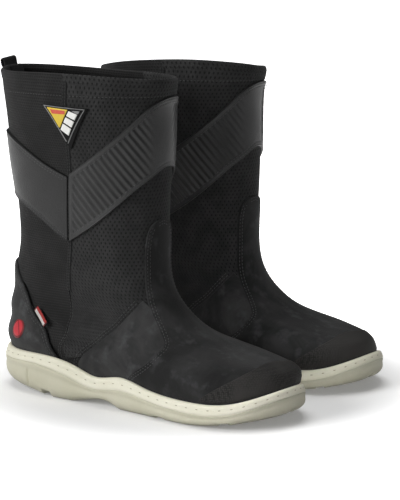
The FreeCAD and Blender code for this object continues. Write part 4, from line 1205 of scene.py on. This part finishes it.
def make_counter(boot):
    """Nubuck heel counter with a piped edge."""
    foot = [COUNTER_EDGE[0], (150.0, FOOT), (180.0, FOOT)]
    head = [COUNTER_EDGE[-1], (160.0, 0.378), (180.0, 0.38)]
    near, far = path(COUNTER_EDGE), path(round_back(COUNTER_EDGE))
    panel(boot, "nubuck_counter", "heel_counter", "nubuck",
          (across_back(foot), across_back(head), near, far), LEATHER, "counter", step=1.8,
          relief=leather_relief)
    curves = [(near, 1.0, 0.14, 0.98), (far, -1.0, 0.14, 0.98), (across_back(head), 1.0, 0.04, 0.96)]
    sew(boot, "counter_stitches", double_rows(boot, curves, LEATHER[1] - SEWN))


def make_toe_cap(boot):
    """Thin rubberised cap over the toe."""
    low = across_front([(51.0, 0.004), (25.0, 0.004), (0.0, 0.004)])
    high = across_front([(50.0, 0.014), (46.0, 0.03), (37.0, 0.065), (28.0, 0.10), (14.0, 0.14),
                         (0.0, 0.155)])
    panel(boot, "toe_guard", "toe_cap", "cap_rubber", between(low, high), CAP, "cap", step=1.6,
          roll=1.6)


# ---- Badge and emblem
# The badge's rear top, front top and foot corners, as (angle, level)
BADGE = ((91.3, 0.879), (61.4, 0.869), (75.8, 0.763))
# Its plates: name, corners as shares along and down the badge, depths, material, slot, edge roll
# and the CAD node it stands in for
BADGE_PLATES = (
    ("outline", ((-0.02, 1.09), (0.03, 1.09), (1.07, -0.02), (-0.03, -0.02)), (0.2, 1.2),
     "badge_black", "badge_black", 0.8, "badge_base"),
    ("top_line", ((0.0, 0.035), (0.95, 0.035), (0.985, 0.0), (-0.015, 0.0)), (1.1, 1.45),
     "badge_grey", "badge_black", 0.3, None),
    ("rear_line", ((0.005, 0.93), (0.03, 0.93), (0.015, 0.01), (-0.012, 0.01)), (1.1, 1.45),
     "badge_grey", "badge_black", 0.25, None),
    ("pinstripe", ((0.012, 0.97), (0.03, 0.975), (0.965, 0.03), (0.945, 0.03)), (1.1, 1.4),
     "badge_grey", "badge_black", 0.2, None),
    ("yellow", ((0.038, 0.60), (0.06, 0.60), (0.559, 0.06), (0.045, 0.055)), (1.15, 1.6),
     "badge_yellow", "badge_yellow", 0.5, "badge_yellow_field"),
    ("red_bar", ((0.085, 0.235), (0.405, 0.215), (0.475, 0.10), (0.10, 0.10)), (1.5, 1.85),
     "badge_red", "badge_yellow", 0.3, None),
)
CORNER_MARK = ("corner_mark", ((0.70, 0.165), (0.745, 0.165), (0.831, 0.072), (0.635, 0.08)),
               (1.15, 1.55), "badge_grey", "badge_black", 0.3, None)
# The white strip's top and foot edges, and the shares of it that the three blocks take up
STRIP = (((0.561, 0.097), (0.715, 0.184)), ((0.044, 0.645), (0.163, 0.777)))
BLOCKS = ((0.0, 0.29), (0.35, 0.63), (0.69, 1.0))


def quad_patch(corners):
    """Straight-edged patch of (angle, level) corners: two along the bottom, two along the top."""
    a, b, c, d = corners

    def line(p, q):
        return path([p, ((p[0] + q[0]) / 2.0, (p[1] + q[1]) / 2.0), q])
    return (line(a, b), line(d, c), line(a, d), line(b, c))


def badge_place(along, down):
    """Place on the badge: share of the way from its rear top corner to the front one, and down."""
    rear, front, foot = BADGE
    return tuple(rear[k] + (front[k] - rear[k]) * along + (foot[k] - rear[k]) * down for k in (0, 1))


def block_plate(index, start, end):
    """One white block: a length of the strip, in the form of the badge's plates."""
    upper, lower = [[tuple(a + (b - a) * share for a, b in zip(top, foot)) for top, foot in zip(*STRIP)]
                    for share in (start, end)]
    node = None if index else "badge_white_blocks"
    return ("block_%d" % index, (lower[0], lower[1], upper[1], upper[0]), (1.15, 1.75),
            "badge_white", "badge_white", 0.35, node)


def make_badge(boot):
    """Triangular badge: black field, grey outline, yellow wedge with a red bar, white blocks."""
    blocks = [block_plate(index, *span) for index, span in enumerate(BLOCKS)]
    for tag, corners, depths, material, slot_name, roll, node in [*BADGE_PLATES, *blocks, CORNER_MARK]:
        patch = quad_patch([badge_place(*corner) for corner in corners])
        obj = lay_sheet(boot.name + "_badge_" + tag, boot, patch, *depths, MATERIALS[material],
                        step=1.2, roll=roll)
        if node:
            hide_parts(boot.name + "_" + node)


# The emblem's place on the counter, and how far its line leans against the slope there
EMBLEM_PLACE = (141.2, 0.0845)
EMBLEM_LEAN = math.radians(30.0)
# Its bosses: name, material, shift ahead, and (half width, half height, depth) rings
EMBLEM_BOSSES = (
    ("_emblem", "emblem_dark", 0.0,
     ((8.5, 8.5, -1.0), (8.6, 8.6, 1.2), (8.3, 8.3, 1.8), (7.6, 7.6, 2.05), (6.7, 6.7, 1.8),
      (0.8, 0.8, 1.7))),
    ("_emblem_face", "emblem", 0.0,
     ((6.7, 6.7, 1.6), (6.75, 6.75, 1.95), (6.5, 6.5, 2.2), (5.6, 5.6, 2.3), (3.0, 3.0, 2.35),
      (0.6, 0.6, 2.35))),
    ("_emblem_line", "emblem_line", 1.5,
     ((0.7, 6.4, 2.1), (0.7, 6.4, 2.45), (0.55, 6.2, 2.6), (0.2, 5.8, 2.65))),
)


def make_emblem(boot):
    """Round moulded emblem: a dark ring round a red face with one darker upright line."""
    origin = skin(*EMBLEM_PLACE, 0.0, boot)
    normal = last_normal(*EMBLEM_PLACE)
    level = unit(np.cross([0.0, 0.0, 1.0], normal))
    steep = np.cross(normal, level)
    side = level * math.cos(EMBLEM_LEAN) + steep * math.sin(EMBLEM_LEAN)
    up = steep * math.cos(EMBLEM_LEAN) - level * math.sin(EMBLEM_LEAN)
    turn = np.radians(ring_angles(48))[:, None]
    for tag, material, ahead, rings in EMBLEM_BOSSES:
        points, faces = loft([origin + (ahead + np.cos(turn) * wide) * side
                              + np.sin(turn) * tall * up + depth * normal
                              for wide, tall, depth in rings])
        obj = make_object(boot.name + tag, boot, points, faces, points[:, [0, 2]],
                          MATERIALS[material])
        if tag == "_emblem":
            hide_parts(boot.name + "_heel_emblem")


# ---- Flag tab and pull loop
# The tab's size, and the seam's place where it is sewn in
TAB_LENGTH, TAB_WIDTH, TAB_THICK = 18.0, 6.0, 0.5
TAB_SEAM = (124.0, 0.2)
# How far the sewn corner lies from the hinge, along the seam and across it
TAB_SHIFT = (5.0, -3.0)
# Shares of the tab: where its bound ends begin either side of the middle, and where the red begins
TAB_END, TAB_RED = 0.45, 0.62


def make_tab(boot):
    """Folded woven flag tab sewn into the counter seam: white at the seam, red at its free edge."""
    joint = joint_of(boot.name + "_flag_tab_bend")
    origin = np.array(joint["pos_m"])
    along = np.array(joint["axis"]) * boot.side
    low, high = [np.array(corner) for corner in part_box(boot.name + "_flag_tab")]
    across = (low + high) / 2.0 - origin
    across = unit(across - along * across.dot(along))
    origin = origin + (along * TAB_SHIFT[0] + across * TAB_SHIFT[1]) * MM
    out = np.cross(along, across)
    if out.dot(boot.turn @ (last_normal(*TAB_SEAM) * boot.mirror())) < 0.0:
        out = -out
    uu, vv = np.meshgrid(np.linspace(0.0, 1.0, 41), np.linspace(0.0, 1.0, 21), indexing="ij")
    lift = 0.55 + 0.5 * np.sin(vv * math.pi) + 0.25 * vv + 0.15 * np.sin(uu * 9.0)
    grids = [origin + (along * (uu * TAB_LENGTH)[..., None] + across * (vv * TAB_WIDTH)[..., None]
                       + out * height[..., None]) * MM for height in (lift, lift - TAB_THICK)]
    faces = sheet_faces(*uu.shape)
    world = np.concatenate([grid.reshape(-1, 3) for grid in grids])
    local = ((world - boot.origin) @ boot.turn) / MM * boot.mirror()
    uv = np.stack([uu * TAB_LENGTH, vv * TAB_WIDTH], -1).reshape(-1, 2)
    obj = make_object(boot.name + "_tab", boot, local, faces, np.concatenate([uv, uv]),
                      MATERIALS["tab_white"], boot.name + "_tab_body")
    for trim in ("tab_red", "emblem_dark"):
        obj.data.materials.append(MATERIALS[trim])
    centre_u, centre_v = (np.tile(grid.ravel(), 2)[faces].mean(1) for grid in (uu, vv))
    pick = np.where(np.abs(centre_u - 0.5) > TAB_END, 2, np.where(centre_v > TAB_RED, 1, 0))
    obj.data.polygons.foreach_set("material_index", pick.astype(np.int32))
    dress(boot, "flag_tab")


# How far each loop is folded down into its boot, in degrees
LOOP_FOLD = {"right": 0.0, "left": 164.6}
LOOP_HALF, LOOP_HEIGHT, LOOP_THICK, LOOP_WIDTH = 2.6, 8.0, 1.5, 16.0
# The standing loop's lean off its root, its shift to one side and its twist
LOOP_LEAN, LOOP_SHIFT, LOOP_TWIST = -1.4, -1.8, 1.6
# Its feet: levels, and depths outside and inside the rim; then the folded loop's steps inwards
LOOP_FOOT_LEVELS = np.array([0.955, 0.975, 0.99])
LOOP_FOOT_DEPTHS = (1.6, -5.3)
LOOP_TUCK = (-0.4, 1.2)
# Half the height of a span round the loop's root; make_loop works out its two ends and leaves them
# unused
LOOP_BLEND = 5.0
# Half the width of the stay, in degrees round the boot
STAY_HALF = 8.5


def loop_line(boot):
    """Middle line of the pull loop in the boot's x-z plane, from its outer foot to its inner foot."""
    joint = joint_of(boot.name + "_pull_loop_bend")
    root = ((np.array(joint["pos_m"]) - boot.origin) @ boot.turn / MM)[[0, 2]]
    folded = LOOP_FOLD[boot.name] > 90.0
    turn = math.radians(LOOP_FOLD[boot.name])
    aside = np.array([math.cos(turn), -math.sin(turn)])
    ahead = np.array([math.sin(turn), math.cos(turn)])
    radius = LOOP_HALF - LOOP_THICK / 2.0
    lean = np.array([0.0 if folded else LOOP_LEAN, 0.0])
    arch = [root + lean + aside * radius * math.cos(a)
            + ahead * (LOOP_HEIGHT - LOOP_HALF + radius * math.sin(a))
            for a in np.linspace(math.pi, 0.0, 17)]
    outer, inner = (skin(180.0, LOOP_FOOT_LEVELS, depth, boot)[:, [0, 2]]
                    for depth in LOOP_FOOT_DEPTHS)
    if folded:
        outer, inner = (inner + [tuck, 0.0] for tuck in LOOP_TUCK)
    knots = [*outer, root - aside * radius, *arch[1:-1], root + aside * radius, *inner[::-1]]
    length = run_length(knots)
    fine = np.linspace(0.0, length[-1], 70)
    line = resample(fine, length, knots)
    for _ in range(4):
        line[1:-1] = (line[:-2] + 2.0 * line[1:-1] + line[2:]) / 4.0
    return line, fine, root


def make_loop(boot):
    """Webbing pull loop at the back of the rim, in an object of its own that is not attached to the
    boot's body.
    """
    line, length, root = loop_line(boot)
    folded = LOOP_FOLD[boot.name] > 90.0
    run = unit(np.gradient(line, axis=0))
    normal = np.stack([-run[:, 1], run[:, 0]], -1)
    across = np.linspace(-0.5, 0.5, 19)
    shift = 0.0 if folded else LOOP_SHIFT
    section = [(y, 1.0) for y in across] + [(y, -1.0) for y in across[::-1]]
    points = []
    for point, out in zip(line, normal):
        for y, face in section:
            pinch = 1.0 - 0.45 * smooth(0.42, 0.5, abs(y))
            place = point + out * (face * LOOP_THICK / 2.0 * pinch)
            tilt = LOOP_TWIST * y * smooth(root[1], root[1] + 6.0, place[1])
            points.append((place[0], y * LOOP_WIDTH + shift, place[1] + tilt))
    size = len(section)
    faces = [grid_faces(len(line), size, 0, False, True)]
    for first, order in ((0, 1), ((len(line) - 1) * size, -1)):
        cap = [[first + i, first + i + 1, first + size - 2 - i, first + size - 1 - i]
               for i in range(len(across) - 1)]
        faces.append(np.array(cap)[:, ::order])
    uv = np.stack([np.tile([y * LOOP_WIDTH for y, _ in section], len(line)), np.repeat(length, size)],
                  -1)
    obj = make_object(boot.name + "_webbing_loop", boot, points, np.concatenate(faces), uv,
                      MATERIALS["webbing"], False)
    rise = -LOOP_BLEND if folded else LOOP_BLEND
    start, end = boot.place([[root[0], 0.0, root[1] - rise], [root[0], 0.0, root[1] + rise]])
    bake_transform(obj)
    dress(boot, "pull_loop")


def make_stay(boot):
    """The loop's stay, sewn down the back."""
    first, second = (path([(180.0 + side, v) for v in (0.79, 0.88, 0.983)])
                     for side in (-STAY_HALF, STAY_HALF))
    panel(boot, "webbing_stay", "back_stay", "webbing", between(first, second), (0.0, 0.9),
          "webbing", step=1.4, roll=0.7)
    rows = [stitch_row(path([(a, 0.80), (a, 0.88), (a, 0.975)]), boot, 0.0, 0.95)
            for a in (173.2, 186.8)]
    sew(boot, "stay_stitches", rows)


# ---- Inside the boot
HIDDEN = {"midsole_core": "foam", "shank": "steel", "insole_board": "board"}


def make_stiffeners(boot):
    """Moulded toe puff and heel stiffener between the leather and the lining."""
    puff = (across_front([(62.0, -0.03), (30.0, -0.03), (0.0, -0.03)]),
            across_front([(52.0, 0.05), (40.0, 0.10), (20.0, 0.13), (0.0, 0.135)]))
    shell = (across_back([(122.0, -0.03), (150.0, -0.03), (180.0, -0.03)]),
             across_back([(130.0, 0.22), (150.0, 0.27), (180.0, 0.28)]))
    for tag, node, edges in (("puff", "toe_puff", puff), ("heel_shell", "heel_stiffener", shell)):
        panel(boot, tag, node, "stiffener", between(*edges), STIFFENER, "stiffener", step=3.0,
              roll=0.6)


def dress_inner_parts(boot):
    """CAD pieces inside the boot keep their shape and take a real material."""
    for node, material in HIDDEN.items():
        mesh = frame["nodes"][boot.name + "_" + node].data
        mesh.materials.clear()
        mesh.materials.append(MATERIALS[material])
        if "weave" not in mesh.uv_layers:
            layer = mesh.uv_layers.new(name="weave")
            for loop in mesh.loops:
                layer.data[loop.index].uv = mesh.vertices[loop.vertex_index].co.xy


PIECES = (make_outsole, make_welt, make_welt_stitching, make_footbed, make_lining, make_shaft,
          make_hem, make_seams, make_bands, make_vamp, make_quarters, make_counter, make_toe_cap,
          make_badge, make_emblem, make_tab, make_loop, make_stay, make_stiffeners,
          dress_inner_parts)
for boot in BOOTS:
    for make_piece in PIECES:
        make_piece(boot)


# ---- Floor, light and camera
WHITE = (1.0, 1.0, 1.0, 1.0)


def make_floor():
    """Seamless pale floor with a painted glow rising away from the boots, and painted shade where it
    glows less round them.
    """
    mesh = bpy.data.meshes.new("floor")
    half, gap = 16.0, 0.0006
    # Painted light: the floor glows weakly near the boots, as painted shade round them, and strongly
    # further off
    glow_from, glow_to, glow_low, glow_rise = 0.15, 0.30, 0.10, 1.3
    corners = [(-half, -half, 0.0), (half, -half, 0.0), (half, half, 0.0), (-half, half, 0.0)]
    mesh.from_pydata(corners, [], [(0, 1, 2, 3)])
    floor = add_object("floor", mesh)
    floor.location.z = cad_box[0][2] - gap
    s = Shader("floor", 0.9, 0.2)
    s.colour(s.mix(s.noise(4.0, 2.0), (0.93, 0.93, 0.93), (0.95, 0.95, 0.95)))
    place = s.node("ShaderNodeVectorMath", operation="LENGTH")
    s.links.new(s.node("ShaderNodeTexCoord").outputs["Object"], place.inputs[0])
    far = s.ramp(place.outputs["Value"], glow_from, glow_to)
    glow = s.math("MULTIPLY_ADD", far, glow_rise, glow_low)
    s.feed(s.shader.inputs["Emission Color"], WHITE)
    s.feed(s.shader.inputs["Emission Strength"], glow)
    mesh.materials.append(s.material)
    floor.visible_diffuse = False


def look_at(obj, target):
    """Turn a light or camera towards a place."""
    obj.rotation_euler = (Vector(target) - obj.location).to_track_quat("-Z", "Y").to_euler()


def area_light(name, place, size, power, target=(0.0, 0.0, 0.14), spread=180.0):
    """Square area light that looks at a target."""
    light = bpy.data.lights.new(name, "AREA")
    light.shape = "RECTANGLE"
    light.size = light.size_y = size
    light.spread = math.radians(spread)
    light.energy = power
    obj = add_object(name, light)
    obj.location = place
    look_at(obj, target)


def make_light():
    """Soft studio light, and a narrow one on the far boot's toe."""
    world = bpy.data.worlds.new("studio")
    world.use_nodes = True
    background = world.node_tree.nodes["Background"]
    background.inputs["Color"].default_value = WHITE
    background.inputs["Strength"].default_value = 0.12
    bpy.context.scene.world = world
    area_light("key", (-0.75, -1.95, 0.95), 1.3, 42.0)
    area_light("top", (-0.35, 0.25, 2.0), 1.3, 19.0)
    area_light("front", (1.5, -1.6, 0.45), 0.8, 3.6)
    area_light("toes", (1.5, -1.6, 0.45), 0.3, 0.13, (0.14, 0.04, 0.02), 14.0)


def make_camera():
    """Camera at the three-quarter view from the lateral side of the right boot."""
    azimuth, elevation = math.radians(37.1), math.radians(10.3)
    distance, aside, ahead, height = 1.907, 0.0077, 0.0015, 0.118
    low, high = cad_box
    target = Vector(((low[0] + high[0]) / 2.0 + aside, (low[1] + high[1]) / 2.0 + ahead, height))
    away = Vector((math.sin(azimuth) * math.cos(elevation), -math.cos(azimuth) * math.cos(elevation),
                   math.sin(elevation)))
    camera = bpy.data.cameras.new("camera")
    camera.sensor_fit = "AUTO"
    camera.sensor_width = 36.0
    camera.lens = 158.7
    obj = add_object("camera", camera)
    obj.location = target + away * distance
    look_at(obj, target)
    bpy.context.scene.camera = obj


make_floor()
make_light()
make_camera()
bpy.context.scene.view_settings.view_transform = "Standard"
